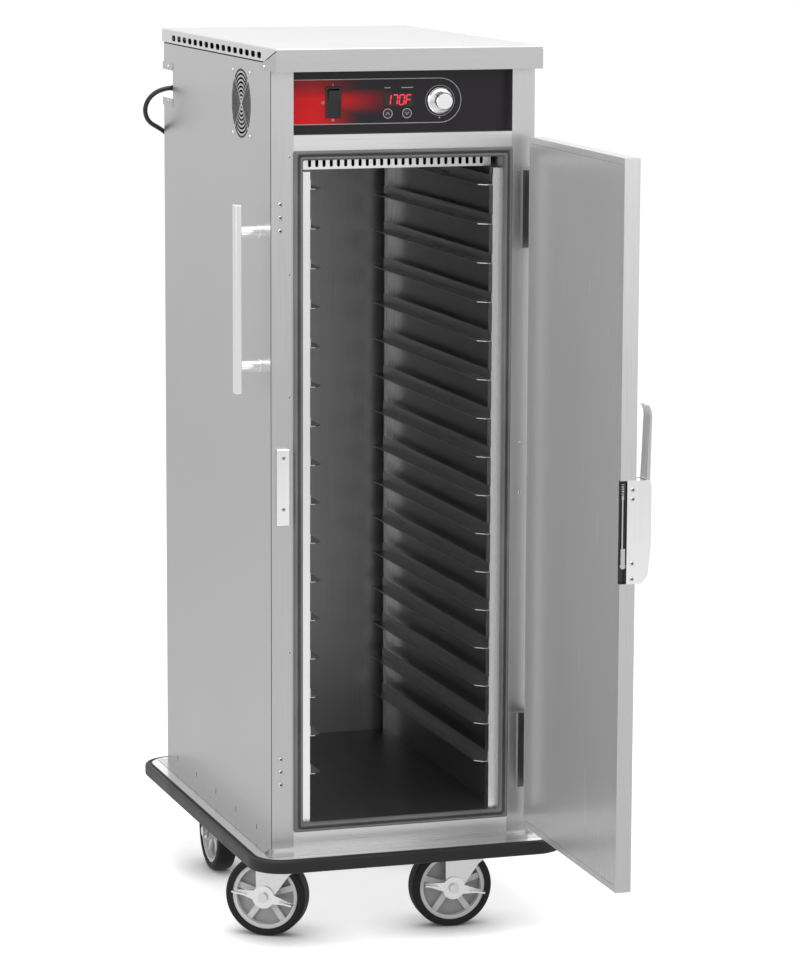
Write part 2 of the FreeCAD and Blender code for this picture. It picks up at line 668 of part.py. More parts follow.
def pitched_blades(count, inner, outer, thick, depth, pitch):
    """Flat blades set at a pitch round the X axis, trimmed to a ring."""
    reach = outer - inner + 2.0
    blade = box(-depth, depth, -thick / 2, thick / 2, inner - 1.0, inner - 1.0 + reach)
    blade = blade.rotated(V(0, 0, 0), Z_AXIS, pitch)
    return [blade.rotated(V(0, 0, 0), X_AXIS, 360.0 * n / count) for n in range(count)]


def cooling_fan_rotor():
    y, z = fan_centre()
    depth = FAN_T * 0.6
    start = -INNER_SIDE + 4.0
    hub = rod(V(-depth / 2, 0, 0), X_AXIS, FAN_HUB_R, depth)
    blades = fused([hub] + pitched_blades(FAN_BLADES, FAN_HUB_R, FAN_BORE_R, 2.0, depth, 50.0))
    blades = blades.common(rod(V(-depth / 2, 0, 0), X_AXIS, FAN_BORE_R - 3.0, depth))
    rotor = blades.cut(rod(V(-depth, 0, 0), X_AXIS, SHAFT_R + RUN_GAP, 2 * depth))
    return rotor.translated(V(start + depth / 2, y, z))


def blower_motor():
    """Motor that stands on the insulated roof, with its shaft down into the duct."""
    can = rod(V(0, 0, ROOF_TOP), Z_AXIS, MOTOR_R, MOTOR_H)
    can = can.makeFillet(6.0, [e for e in can.Edges if min(v.Z for v in e.Vertexes) > ROOF_TOP + 1])
    half = MOTOR_R + MOTOR_FLANGE
    flange = rounded_slab(-half, half, -half, half, ROOF_TOP, ROOF_TOP + PANEL_T, MOTOR_FLANGE)
    foot = OPENING_TOP - DUCT_H + 2.0
    shaft = rod(V(0, 0, foot), Z_AXIS, SHAFT_R, ROOF_TOP - foot + 1.0)
    return fused([can, flange, shaft])


def blower_wheel():
    """Low wheel of upright vanes between a back disc and a front ring."""
    low = OPENING_TOP - DUCT_H / 2 - BLOWER_H / 2
    disc = rod(V(0, 0, low + BLOWER_H - 1.5), Z_AXIS, BLOWER_R, 1.5)
    hub = rod(V(0, 0, low), Z_AXIS, 3 * SHAFT_R, BLOWER_H)
    rim = ring(V(0, 0, low), Z_AXIS, BLOWER_R, BLOWER_R * 0.75, 1.5)
    vane = box(BLOWER_R * 0.7, BLOWER_R, -0.8, 0.8, low, low + BLOWER_H)
    vane = vane.rotated(V(BLOWER_R * 0.7, 0, 0), Z_AXIS, 25)
    vanes = [vane.rotated(V(0, 0, 0), Z_AXIS, 360.0 * n / BLOWER_BLADES) for n in range(BLOWER_BLADES)]
    wheel = fused([disc, hub, rim] + vanes).common(rod(V(0, 0, low), Z_AXIS, BLOWER_R, BLOWER_H))
    return wheel.cut(rod(V(0, 0, low - 1), Z_AXIS, SHAFT_R + RUN_GAP, BLOWER_H + 2))


def heating_element():
    """A sheathed rod bent into a long open loop round the blower, lying on the duct plate."""
    z = DUCT_BOTTOM + SHEET + HEATER_R
    bend = BLOWER_R + HEATER_CLEAR
    rear = CAVITY_BACK - DUCT_REAR - HEATER_CLEAR
    start, end = V(-bend, rear, z), V(bend, rear, z)
    left, right, nose = V(-bend, -bend, z), V(bend, -bend, z), V(0, -2 * bend, z)
    path = Part.Wire([Part.makeLine(start, left), Part.Arc(left, nose, right).toShape(),
                      Part.makeLine(right, end)])
    section = Part.Wire(Part.makeCircle(HEATER_R, start, V(0, -1, 0)))
    return path.makePipeShell([section], True, False)


def air_duct():
    """Perforated tray under the ceiling, with a comb of air slots along its front lip."""
    half = OPENING - DUCT_SIDE_GAP
    front = FRONT + DUCT_FRONT
    back = CAVITY_BACK - DUCT_REAR
    plate = box(-half, half, front, back, DUCT_BOTTOM, DUCT_BOTTOM + SHEET)
    lip = box(-half, half, front, front + SHEET, DUCT_BOTTOM, OPENING_TOP)
    sides = [box(s * half - (SHEET if s > 0 else 0), s * half + (SHEET if s < 0 else 0), front, back,
                 DUCT_BOTTOM, OPENING_TOP) for s in (-1, 1)]
    tray = fused([plate, lip] + sides)
    count = int((2 * half - COMB_PITCH) / COMB_PITCH)
    low = DUCT_BOTTOM + COMB_LIP + COMB_SLOT / 2
    cuts = []
    for n in range(count):
        x = (n - (count - 1) / 2) * COMB_PITCH
        cuts.append(box(x - COMB_SLOT / 2, x + COMB_SLOT / 2, front - SHEET, front + 2 * SHEET,
                        low, OPENING_TOP))
        cuts.append(rod(V(x, front - SHEET, low), Y_AXIS, COMB_SLOT / 2, 3 * SHEET))
    inlet = rod(V(0, 0, DUCT_BOTTOM - SHEET), Z_AXIS, BLOWER_R * 0.7, 3 * SHEET)
    return tray.cut(Part.makeCompound(cuts + [inlet]))


def upright_spans():
    ahead = FRONT + UPRIGHT_FRONT
    behind = CAVITY_BACK - UPRIGHT_REAR
    return (ahead, ahead + UPRIGHT_D), (behind - UPRIGHT_D, behind)


def rack_uprights():
    uprights = []
    for y0, y1 in upright_spans():
        post = box(-OPENING, -OPENING + UPRIGHT_W, y0, y1, OPENING_BOTTOM, DUCT_BOTTOM - SHEET)
        post = post.cut(box(-OPENING, -OPENING + UPRIGHT_W - SHEET, y0 + SHEET, y1 - SHEET,
                            OPENING_BOTTOM, DUCT_BOTTOM))
        uprights += [post, mirrored(post)]
    return Part.makeCompound(uprights)


def pan_slides():
    """Angle ledges on both sides, one pair to a level, with cut-back noses."""
    (y0, _), (_, y1) = upright_spans()
    wall = OPENING - UPRIGHT_W
    ledge = prism([(-wall, y0), (-wall + LEDGE_W - LEDGE_NOSE, y0), (-wall + LEDGE_W, y0 + LEDGE_NOSE),
                   (-wall + LEDGE_W, y1), (-wall, y1)], "xy", 0, LEDGE_T)
    guide = box(-wall, -wall + LEDGE_T, y0, y1, 0, LEDGE_LIP)
    slide = fused([ledge, guide])
    slides = []
    for n in range(LEVELS):
        raised = slide.translated(V(0, 0, LEVEL_FIRST + n * LEVEL_PITCH))
        slides += [raised, mirrored(raised)]
    return Part.makeCompound(slides)


def deck_limits(grow):
    side = SIDE + BASE_SIDE - BUMPER_T + grow
    return -side, side, FRONT - BASE_FRONT + BUMPER_T - grow, BACK + BASE_REAR - BUMPER_T + grow


def base_deck():
    """Stiffened deck with a turned-down skirt and a shallow trough across its front ledge."""
    x0, x1, y0, y1 = deck_limits(0)
    tray = rounded_slab(x0, x1, y0, y1, DECK_UNDER - SKIRT_H, DECK_TOP, DECK_R)
    a0, a1, b0, b1 = deck_limits(-SKIRT_T)
    tray = tray.cut(rounded_slab(a0, a1, b0, b1, DECK_UNDER - SKIRT_H, DECK_UNDER, DECK_R - SKIRT_T))
    u0, u1 = y0 + TROUGH_EDGE, FRONT - SHEET
    radius = min(DECK_R - TROUGH_EDGE, (u1 - u0) / 2 - 1.0)
    trough = rounded_slab(x0 + TROUGH_EDGE, x1 - TROUGH_EDGE, u0, u1,
                          DECK_TOP - TROUGH_DEPTH, DECK_TOP, radius)
    return tray.cut(trough)


def bumper():
    """Soft rail round the deck, with a groove along its upper face."""
    x0, x1, y0, y1 = deck_limits(BUMPER_T)
    top = DECK_TOP - BUMPER_DROP
    rail = rounded_slab(x0, x1, y0, y1, top - BUMPER_H, top, DECK_R + BUMPER_T)
    edges = [e for e in rail.Edges if abs(e.Vertexes[0].Z - e.Vertexes[-1].Z) < 1e-6]
    rail = rail.makeFillet(BUMPER_EDGE_R, edges)
    a0, a1, b0, b1 = deck_limits(0)
    rail = rail.cut(rounded_slab(a0, a1, b0, b1, top - BUMPER_H, top, DECK_R))
    g = BUMPER_T / 3
    g0, g1, h0, h1 = deck_limits(g + BUMPER_GROOVE)
    i0, i1, j0, j1 = deck_limits(g - BUMPER_GROOVE)
    groove = rounded_slab(g0, g1, h0, h1, top - BUMPER_GROOVE, top, DECK_R + g + BUMPER_GROOVE)
    groove = groove.cut(rounded_slab(i0, i1, j0, j1, top - BUMPER_GROOVE, top, DECK_R + g - BUMPER_GROOVE))
    return rail.cut(groove)


def caster_plate(x, y):
    """Mounting plate, ball race and king pin of a swivel caster, bolted under the deck."""
    half = PLATE_L / 2
    top = DECK_UNDER
    low = top - PLATE_T - RACE_H
    plate = rounded_slab(x - half, x + half, y - half, y + half, top - PLATE_T, top, 8.0)
    race = rod(V(x, y, low), Z_AXIS, RACE_R, RACE_H)
    pin_low = CROWN_BOTTOM - SLIDE_GAP - KING_NUT_T
    pin = rod(V(x, y, pin_low), Z_AXIS, KING_R, low - pin_low)
    nut = rod(V(x, y, pin_low), Z_AXIS, KING_NUT_R, KING_NUT_T)
    return fused([plate, race, pin, nut])


def caster_plates():
    return Part.makeCompound([caster_plate(s * FRONT_CASTER_X, FRONT_CASTER_Y) for s in (-1, 1)])


def at_front_caster(shape, side):
    """Moves a piece drawn about its swivel axis, trailing towards -X, to its corner of the cabinet."""
    turn = SWIVEL_LEFT if side < 0 else SWIVEL_RIGHT
    return shape.rotated(V(0, 0, 0), Z_AXIS, turn).translated(V(side * FRONT_CASTER_X, FRONT_CASTER_Y, 0))


def leg(shoulder, wheel_x):
    """One tapered side plate of a fork, from its shoulder line down to the axle."""
    outline = shoulder + [(wheel_x + LEG_TIP_R * 0.93, AXLE_Z - LEG_TIP_R * 0.36),
                          (wheel_x - LEG_TIP_R * 0.96, AXLE_Z - LEG_TIP_R * 0.28)]
    plate = prism(outline, "xz", FORK_IN, FORK_OUT)
    tip = rod(V(wheel_x, FORK_IN, AXLE_Z), Y_AXIS, LEG_TIP_R, LEG_T)
    plate = fused([plate, tip])
    return plate.cut(rod(V(wheel_x, FORK_IN, AXLE_Z), Y_AXIS, AXLE_R + RUN_GAP, LEG_T))


def fork():
    """Swivelling fork: a round crown on the king pin and two legs that trail back to the axle."""
    crown = rod(V(0, 0, CROWN_BOTTOM), Z_AXIS, CROWN_R, CROWN_T)
    under = WHEEL_R * 2 - LEG_GAP
    shoulder = [(-TRAIL - LEG_TIP_R, under - LEG_GAP), (-TRAIL, under), (-CROWN_R * 0.6, CROWN_TOP),
                (CROWN_R * 0.55, CROWN_TOP), (CROWN_R * 0.4, CROWN_BOTTOM - LEG_GAP),
                (-TRAIL * 0.35, AXLE_Z + RIM_R * 0.7)]
    one = leg(shoulder, -TRAIL)
    other = one.mirror(V(0, 0, 0), Y_AXIS)
    body = fused([crown, one, other])
    return body.cut(rod(V(0, 0, CROWN_BOTTOM), Z_AXIS, KING_R + RUN_GAP, CROWN_T))


def rear_caster_forks():
    """Rigid casters: a plate with two legs, the axle straight below it and across the cabinet."""
    half = PLATE_L / 2
    low = DECK_UNDER - PLATE_T
    plate = rounded_slab(-half, half, -half, half, low, DECK_UNDER, 8.0)
    one = leg([(-half * 0.8, low), (half * 0.8, low)], 0)
    body = fused([plate, one, one.mirror(V(0, 0, 0), Y_AXIS)])
    return Part.makeCompound([at_rear_caster(body, s) for s in (-1, 1)])


def at_rear_caster(shape, side):
    return shape.rotated(V(0, 0, 0), Z_AXIS, 90).translated(V(side * REAR_CASTER_X, REAR_CASTER_Y, 0))


def axle(head_from):
    """Axle bolt with a head and a nut, along Y through the origin at axle height."""
    nut_from = FORK_OUT
    shank = rod(V(0, -head_from, AXLE_Z), Y_AXIS, AXLE_R, head_from + nut_from)
    head = rod(V(0, -head_from - AXLE_HEAD_T, AXLE_Z), Y_AXIS, AXLE_HEAD_R, AXLE_HEAD_T)
    nut = rod(V(0, nut_from, AXLE_Z), Y_AXIS, AXLE_HEAD_R, AXLE_HEAD_T)
    return fused([head, shank, nut])


def hub():
    """Moulded wheel centre: bored boss, thin web, spokes on both sides and an outer rim."""
    length = 2 * (FORK_IN - SLIDE_GAP)
    def disc(outer, width):
        return rod(V(0, -width / 2, AXLE_Z), Y_AXIS, outer, width)
    rim = disc(RIM_R - FIT_GAP / 2, RIM_W).cut(disc(RIM_R - RIM_T, RIM_W))
    spoke = box(-SPOKE_W / 2, SPOKE_W / 2, -SPOKE_T / 2, SPOKE_T / 2,
                AXLE_Z + HUB_R - 2.0, AXLE_Z + RIM_R - RIM_T + 1.0)
    spokes = [spoke.rotated(V(0, 0, AXLE_Z), Y_AXIS, 360.0 * n / SPOKES) for n in range(SPOKES)]
    body = fused([rim, disc(RIM_R - RIM_T + 1.0, WEB_T), disc(HUB_R, length)] + spokes)
    return body.cut(disc(AXLE_R + RUN_GAP, length))


def tyre():
    tread = rod(V(0, -TREAD_W / 2, AXLE_Z), Y_AXIS, WHEEL_R, TREAD_W)
    tread = tread.makeFillet(TREAD_EDGE_R, [e for e in tread.Edges if e.Closed and len(e.Vertexes) == 1])
    return tread.cut(rod(V(0, -TREAD_W / 2, AXLE_Z), Y_AXIS, RIM_R, TREAD_W))


def brake_lever():
    """Two-pedal lever on the axle, outside the fork leg, with a turned-out tread along each arm."""
    y1 = -FORK_OUT - SLIDE_GAP
    y0 = y1 - BRAKE_T
    plate = rod(V(0, y0, AXLE_Z), Y_AXIS, BRAKE_HUB_R, BRAKE_T)
    def arm(angle):
        root, tip = BRAKE_W / 2, BRAKE_T / 2
        outline = [(0, AXLE_Z - root), (BRAKE_L, AXLE_Z - tip), (BRAKE_L, AXLE_Z + tip), (0, AXLE_Z + root)]
        tread = box(BRAKE_L - BRAKE_TREAD, BRAKE_L, y0 - BRAKE_FOOT, y1, AXLE_Z - tip, AXLE_Z + tip)
        return fused([prism(outline, "xz", y0, y1), tread]).rotated(V(0, 0, AXLE_Z), Y_AXIS, angle)
    body = fused([plate, arm(BRAKE_TILT), arm(BRAKE_TILT + 180)])
    return body.cut(rod(V(0, y0, AXLE_Z), Y_AXIS, AXLE_R + RUN_GAP, BRAKE_T))


def at_front_wheel(shape, side):
    return at_front_caster(shape.translated(V(-TRAIL, 0, 0)), side)


def side_handles():
    """A flat upright bar on two turned standoffs, on each side."""
    y = FRONT + HANDLE_FROM_FRONT
    bar = box(-SIDE - HANDLE_OUT, -SIDE - HANDLE_OUT + HANDLE_T, y - HANDLE_D / 2, y + HANDLE_D / 2,
              HANDLE_Z - HANDLE_L / 2, HANDLE_Z + HANDLE_L / 2)
    bar = bar.makeFillet(1.5, bar.Edges)
    pieces = [bar]
    for s in (-1, 1):
        z = HANDLE_Z + s * STANDOFF_SPACING / 2
        reach = HANDLE_OUT - HANDLE_T
        pieces.append(rod(V(-SIDE, y, z), V(-1, 0, 0), STANDOFF_R, reach))
        pieces.append(rod(V(-SIDE, y, z), V(-1, 0, 0), STANDOFF_FOOT_R, STANDOFF_FOOT_T))
    handle = fused(pieces)
    return Part.makeCompound([handle, mirrored(handle)])


def strike_plate():
    x0 = -SIDE + STRIKE_FROM_SIDE
    middle = LATCH_Z + STRIKE_LIFT
    block = box(x0, x0 + STRIKE_W, FRONT - STRIKE_OUT, FRONT, middle - STRIKE_H / 2, middle + STRIKE_H / 2)
    proud = [e for e in block.Edges if min(v.Y for v in e.Vertexes) < FRONT - 1]
    return block.makeFillet(STRIKE_EDGE_R, proud)


def knuckle_length():
    return HINGE_H * KNUCKLE_SHARE


def hinge_frame_leaf(z):
    """Leaf on the post with an arm past the door's edge, two knuckles and the fixed pin."""
    low, high = z - HINGE_H / 2, z + HINGE_H / 2
    arm_in, arm_out = SIDE + 1.0, SIDE + 1.0 + HINGE_PLATE_T
    leaf = box(SIDE - HINGE_LEAF_W, SIDE, FRONT - HINGE_PLATE_T, FRONT, low, high)
    step = box(SIDE - HINGE_STEP_W, arm_out, FRONT - HINGE_STEP_T, FRONT, low, high)
    arm = box(arm_in, arm_out, HINGE_Y + KNUCKLE_R + 2 * SLIDE_GAP, FRONT, low, high)
    pieces = [leaf, step, arm]
    half = knuckle_length() / 2
    for a, b in ((low, z - half), (z + half, high)):
        pieces.append(rod(V(HINGE_X, HINGE_Y, a), Z_AXIS, KNUCKLE_R, b - a))
        pieces.append(box(arm_in, arm_out, HINGE_Y, FRONT, a, b))
    pieces.append(rod(V(HINGE_X, HINGE_Y, low), Z_AXIS, HINGE_PIN_R, HINGE_H))
    return fused(pieces)


def hinge_frame_leaves():
    return Part.makeCompound([hinge_frame_leaf(z) for z in HINGE_HEIGHTS])


def hinge_door_leaf(z):
    half = knuckle_length() / 2 - SLIDE_GAP
    barrel = rod(V(HINGE_X, HINGE_Y, z - half), Z_AXIS, KNUCKLE_R, 2 * half)
    leaf = box(SIDE - HINGE_LEAF_W, HINGE_X, HINGE_Y, DOOR_OUT, z - half, z + half)
    leaf = leaf.cut(box(SIDE, HINGE_X, HINGE_Y + KNUCKLE_R / 2, DOOR_OUT, z - half, z + half))
    bore = rod(V(HINGE_X, HINGE_Y, z - half), Z_AXIS, HINGE_PIN_R + RUN_GAP, 2 * half)
    return fused([barrel, leaf]).cut(bore)


def hinge_door_leaves():
    return swung(Part.makeCompound([hinge_door_leaf(z) for z in HINGE_HEIGHTS]))


def latch_span():
    return LATCH_Z - LATCH_H / 2, LATCH_Z + LATCH_H / 2


def latch_notch(grow):
    """Room in the door's free edge for the latch."""
    low, high = latch_span()
    return box(-SIDE, -SIDE + LATCH_NOTCH_W + grow, DOOR_IN - LATCH_NOTCH_D, DOOR_IN, low - grow, high + grow)


def door_filling():
    return box(-SIDE + SHEET, SIDE - SHEET, DOOR_OUT + SHEET, DOOR_IN - INNER_T,
               DOOR_BOTTOM + SHEET, DOOR_TOP - SHEET)


def door_shell():
    """Folded door pan with a return lip on the inside, open there for the inner panel."""
    pan = box(-SIDE, SIDE, DOOR_OUT, DOOR_IN, DOOR_BOTTOM, DOOR_TOP)
    outer = [e for e in pan.Edges if max(v.Y for v in e.Vertexes) < DOOR_OUT + 1e-3]
    pan = pan.makeFillet(DOOR_EDGE_R, outer).cut(door_filling())
    m = INNER_MARGIN
    pan = pan.cut(box(-SIDE + m, SIDE - m, DOOR_IN - INNER_T, DOOR_IN, DOOR_BOTTOM + m, DOOR_TOP - m))
    return swung(pan.cut(latch_notch(0)))


def door_core():
    """Insulating board that fills the door pan."""
    return swung(door_filling().cut(latch_notch(0)))


def door_inner_panel():
    m = INNER_MARGIN + INNER_SEAM
    sheet = box(-SIDE + m, SIDE - m, DOOR_IN - INNER_T, DOOR_IN, DOOR_BOTTOM + m, DOOR_TOP - m)
    return swung(sheet.cut(latch_notch(INNER_SEAM)))


def cheek(x0):
    """Side wall of the latch housing, tapered towards its lower end."""
    low, high = latch_span()
    out = DOOR_OUT - LATCH_OUT
    outline = [(DOOR_OUT, low), (DOOR_OUT - LATCH_OUT * 0.4, low),
               (out + LATCH_OUT * 0.2, low + LATCH_H * 0.07), (out, low + LATCH_H * 0.35),
               (out, high - LATCH_H * 0.05), (out + LATCH_OUT * 0.15, high), (DOOR_OUT, high)]
    return prism(outline, "yz", x0, x0 + LATCH_CHEEK)


def latch_body():
    """Edge-mounted latch: end plate, lining of the corner channel, and two cheeks that carry the lever."""
    low, high = latch_span()
    edge = -SIDE - LATCH_PLATE_T
    channel = DOOR_IN - LATCH_NOTCH_D
    plate = box(edge, -SIDE, DOOR_OUT, channel + LATCH_WALL, low, high)
    seat = box(edge, edge + LATCH_W, DOOR_OUT - LATCH_PLATE_T, DOOR_OUT, low, high)
    lining = box(-SIDE, -SIDE + LATCH_NOTCH_W, channel, DOOR_IN, low, high)
    hollow = box(-SIDE, -SIDE + LATCH_NOTCH_W - LATCH_WALL, channel + LATCH_WALL, DOOR_IN,
                 low + LATCH_WALL, high - LATCH_WALL)
    pin = rod(V(edge, LATCH_PIN_Y, LATCH_PIN_Z), X_AXIS, LATCH_PIN_R, LATCH_W)
    cheeks = [cheek(edge), cheek(edge + LATCH_W - LATCH_CHEEK)]
    return swung(fused([plate, seat, lining.cut(hollow), pin] + cheeks))


def lever_outline():
    """Side view of the pull lever: a blade that leans out, grows thinner and curls in at its tip."""
    z, knee, top = LATCH_PIN_Z, LATCH_Z + LEVER_TOP - LEVER_CURL_H, LATCH_Z + LEVER_TOP
    def side(root, tip):
        y = LATCH_PIN_Y - LEVER_LEAN + tip
        return [V(0, LATCH_PIN_Y + root, z), V(0, y, knee),
                V(0, y + LEVER_CURL * 0.25, (knee + top) / 2), V(0, y + LEVER_CURL, top)]
    return side(LEVER_T / 2, LEVER_TIP_T / 2), side(-LEVER_T / 2, -LEVER_TIP_T / 2)


def latch_lever():
    back, front = lever_outline()
    x0 = -SIDE - LATCH_PLATE_T + LATCH_CHEEK + 1.0
    x1 = -SIDE - LATCH_PLATE_T + LATCH_W - LATCH_CHEEK - 1.0
    edges = [Part.makeLine(back[0], back[1]), Part.Arc(*back[1:]).toShape(), Part.makeLine(back[3], front[3]),
             Part.Arc(*front[:0:-1]).toShape(), Part.makeLine(front[1], front[0]),
             Part.makeLine(front[0], back[0])]
    blade = Part.Face(Part.Wire(edges)).extrude(V(x1 - x0, 0, 0)).translated(V(x0, 0, 0))
    boss = rod(V(x0, LATCH_PIN_Y, LATCH_PIN_Z), X_AXIS, 2 * LATCH_PIN_R, x1 - x0)
    lever = fused([blade, boss])
    return swung(lever.cut(rod(V(x0, LATCH_PIN_Y, LATCH_PIN_Z), X_AXIS, LATCH_PIN_R + RUN_GAP, x1 - x0)))


def latch_catch():
    """Draw rod in the corner channel, with a block at its foot that carries a roller."""
    x1 = -SIDE + LATCH_NOTCH_W - LATCH_WALL - SLIDE_GAP
    x0 = -SIDE + SLIDE_GAP
    x, y = (x0 + x1) / 2, DOOR_IN - (LATCH_NOTCH_D - LATCH_WALL) / 2
    foot = LATCH_Z - CATCH_DROP
    block = box(x0, x1, y - CATCH_BLOCK_T / 2, y + CATCH_BLOCK_T / 2, foot, foot + CATCH_BLOCK_H)
    stem = rod(V(x, y, foot + CATCH_BLOCK_H / 2), Z_AXIS, CATCH_ROD_R, CATCH_BLOCK_H / 2 + CATCH_ROD_L)
    roller = rod(V(x0, y, foot - ROLLER_R + 1.0), X_AXIS, ROLLER_R, x1 - x0)
    return swung(fused([block, stem, roller]))


def cord_pocket():
    """Sheet box let into the rear corner, with two tabs over its mouth screwed to the side panel."""
    pocket = box(-SIDE, POCKET_INNER, POCKET_FRONT, BACK, POCKET_LOW, POCKET_HIGH)
    pocket = pocket.cut(box(-SIDE - SHEET, POCKET_INNER - SHEET, POCKET_FRONT + SHEET, BACK + SHEET,
                            POCKET_LOW + SHEET, POCKET_HIGH - SHEET))
    spans = ((POCKET_LOW + POCKET_TAB_LAP - POCKET_TAB, POCKET_LOW + POCKET_TAB_LAP),
             (POCKET_HIGH - POCKET_TAB_LAP, POCKET_HIGH - POCKET_TAB_LAP + POCKET_TAB))
    tabs = [box(-SIDE - SHEET, -SIDE, POCKET_FRONT, BACK + POCKET_TAB_OUT, a, b) for a, b in spans]
    return fused([pocket] + tabs)


def cord_gland():
    start = V(POCKET_INNER - SHEET, GLAND_Y, GLAND_Z)
    left = V(-1, 0, 0)
    body = rod(start, left, GLAND_R, GLAND_L - SHEET)
    nut = rod(start, left, GLAND_NUT_R, GLAND_NUT_T)
    return fused([body, nut])


def cord_route():
    """Out of the rear corner, a small loop to the side, down the back, then along the deck's rear ledge."""
    corner = V(-SIDE, BACK, GLAND_Z)
    points = [V(GLAND_FACE, GLAND_Y, GLAND_Z), V(-SIDE + 14, GLAND_Y, GLAND_Z)]
    loop = [(-8.5, -43.5, -0.8), (-29.5, -35.5, -10), (-42, -24, -28.5), (-42, -11.5, -50.5),
            (-29.5, 2, -69.5), (-8, 13, -80.5), (14, 20.5, -95.5), (29.5, 24.5, -121), (39, 25.5, -163),
            (43.5, 25, -232)]
    points += [corner + V(x, y, z) for x, y, z in loop]
    ledge = V(-SIDE, BACK + PLUG_R + 5 * SLIDE_GAP, DECK_TOP)
    turn = ledge + V(38, 0, 209)
    top = points[-1]
    count = int((top.z - turn.z) / CORD_STEP) + 1
    for n in range(1, count):
        part = n / count
        sway = CORD_SWAY * math.sin(math.pi * part)
        points.append(top + (turn - top) * part + V(sway, -sway * 0.3, 0))
    rest = CORD_R + SLIDE_GAP
    lift = PLUG_R + SLIDE_GAP
    foot = [(38, 209), (38.5, 139), (47, 87), (68, 47), (101, 20.5), (143, rest + 3.5), (193, rest + 0.2),
            (253, rest), (306, rest + 2.4), (348, lift - 2.4), (384, lift - 0.3), (415, lift - 0.1)]
    return points + [ledge + V(x, 0.003 * x, z) for x, z in foot]


def cord_wire():
    """Straight runs joined by tangent arcs, each as large as its two runs allow."""
    points = cord_route()
    edges, radii = [], []
    here = points[0]
    for before, corner, after in zip(points, points[1:], points[2:]):
        run_in, run_out = corner - before, after - corner
        turn = run_in.getAngle(run_out)
        reach = 0.45 * min(run_in.Length, run_out.Length)
        radii.append(reach / math.tan(turn / 2))
        unit_in, unit_out = V(run_in).normalize(), V(run_out).normalize()
        start, end = corner - unit_in * reach, corner + unit_out * reach
        bisector = (unit_out - unit_in).normalize()
        middle = corner + bisector * (radii[-1] / math.cos(turn / 2) - radii[-1])
        edges += [Part.LineSegment(here, start).toShape(), Part.Arc(start, middle, end).toShape()]
        here = end
    edges.append(Part.LineSegment(here, points[-1]).toShape())
    return Part.Wire(edges), radii


def power_cord():
    path, radii = cord_wire()
    section = Part.Wire(Part.makeCircle(CORD_R, cord_route()[0], V(-1, 0, 0)))
    tube = path.makePipeShell([section], True, False)
    expected = math.pi * CORD_R ** 2 * path.Length
    print("cord length %.0f mm, least radius %.1f mm" % (path.Length, min(radii)))
    print("cord radii", " ".join("%.0f" % r for r in radii))
    print("cord volume over section times length %.4f" % (tube.Volume / expected))
    return tube


def power_plug():
    """Moulded plug: a tapered neck, a round body and two flat blades with a round ground pin."""
    before, end = cord_route()[-2:]
    along = (end - before).normalize()
    neck = Part.makeCone(PLUG_NECK_R * 0.75, PLUG_NECK_R, PLUG_NECK_L, end, along)
    body = Part.makeCylinder(PLUG_R, PLUG_BODY_L, end + along * PLUG_NECK_L, along)
    body = body.makeFillet(3.0, [e for e in body.Edges if e.Closed and len(e.Vertexes) == 1])
    face = end + along * (PLUG_NECK_L + PLUG_BODY_L)
    blades = [box(0, BLADE_L, s * 6.35 - 0.8, s * 6.35 + 0.8, -3.0, 3.4) for s in (-1, 1)]
    blades.append(rod(V(0, 0, -8.0), X_AXIS, 2.4, BLADE_L + 3.0))
    spread = fused([Part.makeCompound(blades)])
    spread = spread.rotated(V(0, 0, 0), Z_AXIS, math.degrees(math.atan2(along.y, along.x))).translated(face)
    return neck.multiFuse([body] + spread.Solids)


def wheel_nodes():
    nodes = {}
    for side, name in ((-1, "left"), (1, "right")):
        nodes["hub_front_" + name] = at_front_wheel(hub(), side)
        nodes["tyre_front_" + name] = at_front_wheel(tyre(), side)
        nodes["hub_rear_" + name] = at_rear_caster(hub(), side)
        nodes["tyre_rear_" + name] = at_rear_caster(tyre(), side)
        nodes["fork_front_" + name] = at_front_caster(fork(), side)
        nodes["axle_front_" + name] = at_front_wheel(axle(FORK_OUT + 2 * SLIDE_GAP + BRAKE_T), side)
        nodes["brake_lever_" + name] = at_front_wheel(brake_lever(), side)
    nodes["rear_axles"] = Part.makeCompound([at_rear_caster(axle(FORK_OUT), s) for s in (-1, 1)])
    return nodes


def all_nodes():
    left_button, right_button = button_places()
    nodes = {
        "side_panel_left": side_panel_left(), "side_panel_right": side_panel_right(),
        "rear_panel": rear_panel(), "front_posts": front_posts(), "frame_rails": frame_rails(),
        "top_cap": top_cap(), "fascia": fascia(), "liner_walls": liner_walls(),
        "liner_panels": liner_panels(), "insulation": insulation(), "door_gasket": door_gasket(),
        "control_panel": control_panel(), "display_window": display_window(),
        "switch_bezel": switch_bezel(), "rocker": rocker(), "button_left": button(left_button),
        "button_right": button(right_button), "control_knob": control_knob(),
        "control_board": control_board(), "cooling_fan_frame": cooling_fan_frame(),
        "cooling_fan_rotor": cooling_fan_rotor(), "blower_motor": blower_motor(),
        "blower_wheel": blower_wheel(), "heating_element": heating_element(), "air_duct": air_duct(),
        "rack_uprights": rack_uprights(), "pan_slides": pan_slides(), "base_deck": base_deck(),
        "bumper": bumper(), "caster_plates": caster_plates(), "rear_caster_forks": rear_caster_forks(),
        "side_handles": side_handles(), "strike_plate": strike_plate(),
        "hinge_frame_leaves": hinge_frame_leaves(), "hinge_door_leaves": hinge_door_leaves(),
        "door_shell": door_shell(), "door_core": door_core(), "door_inner_panel": door_inner_panel(),
        "latch_body": latch_body(), "latch_lever": latch_lever(), "latch_catch": latch_catch(),
        "cord_pocket": cord_pocket(), "cord_gland": cord_gland(), "power_cord": power_cord(),
        "power_plug": power_plug()}
    nodes.update(wheel_nodes())
    return nodes


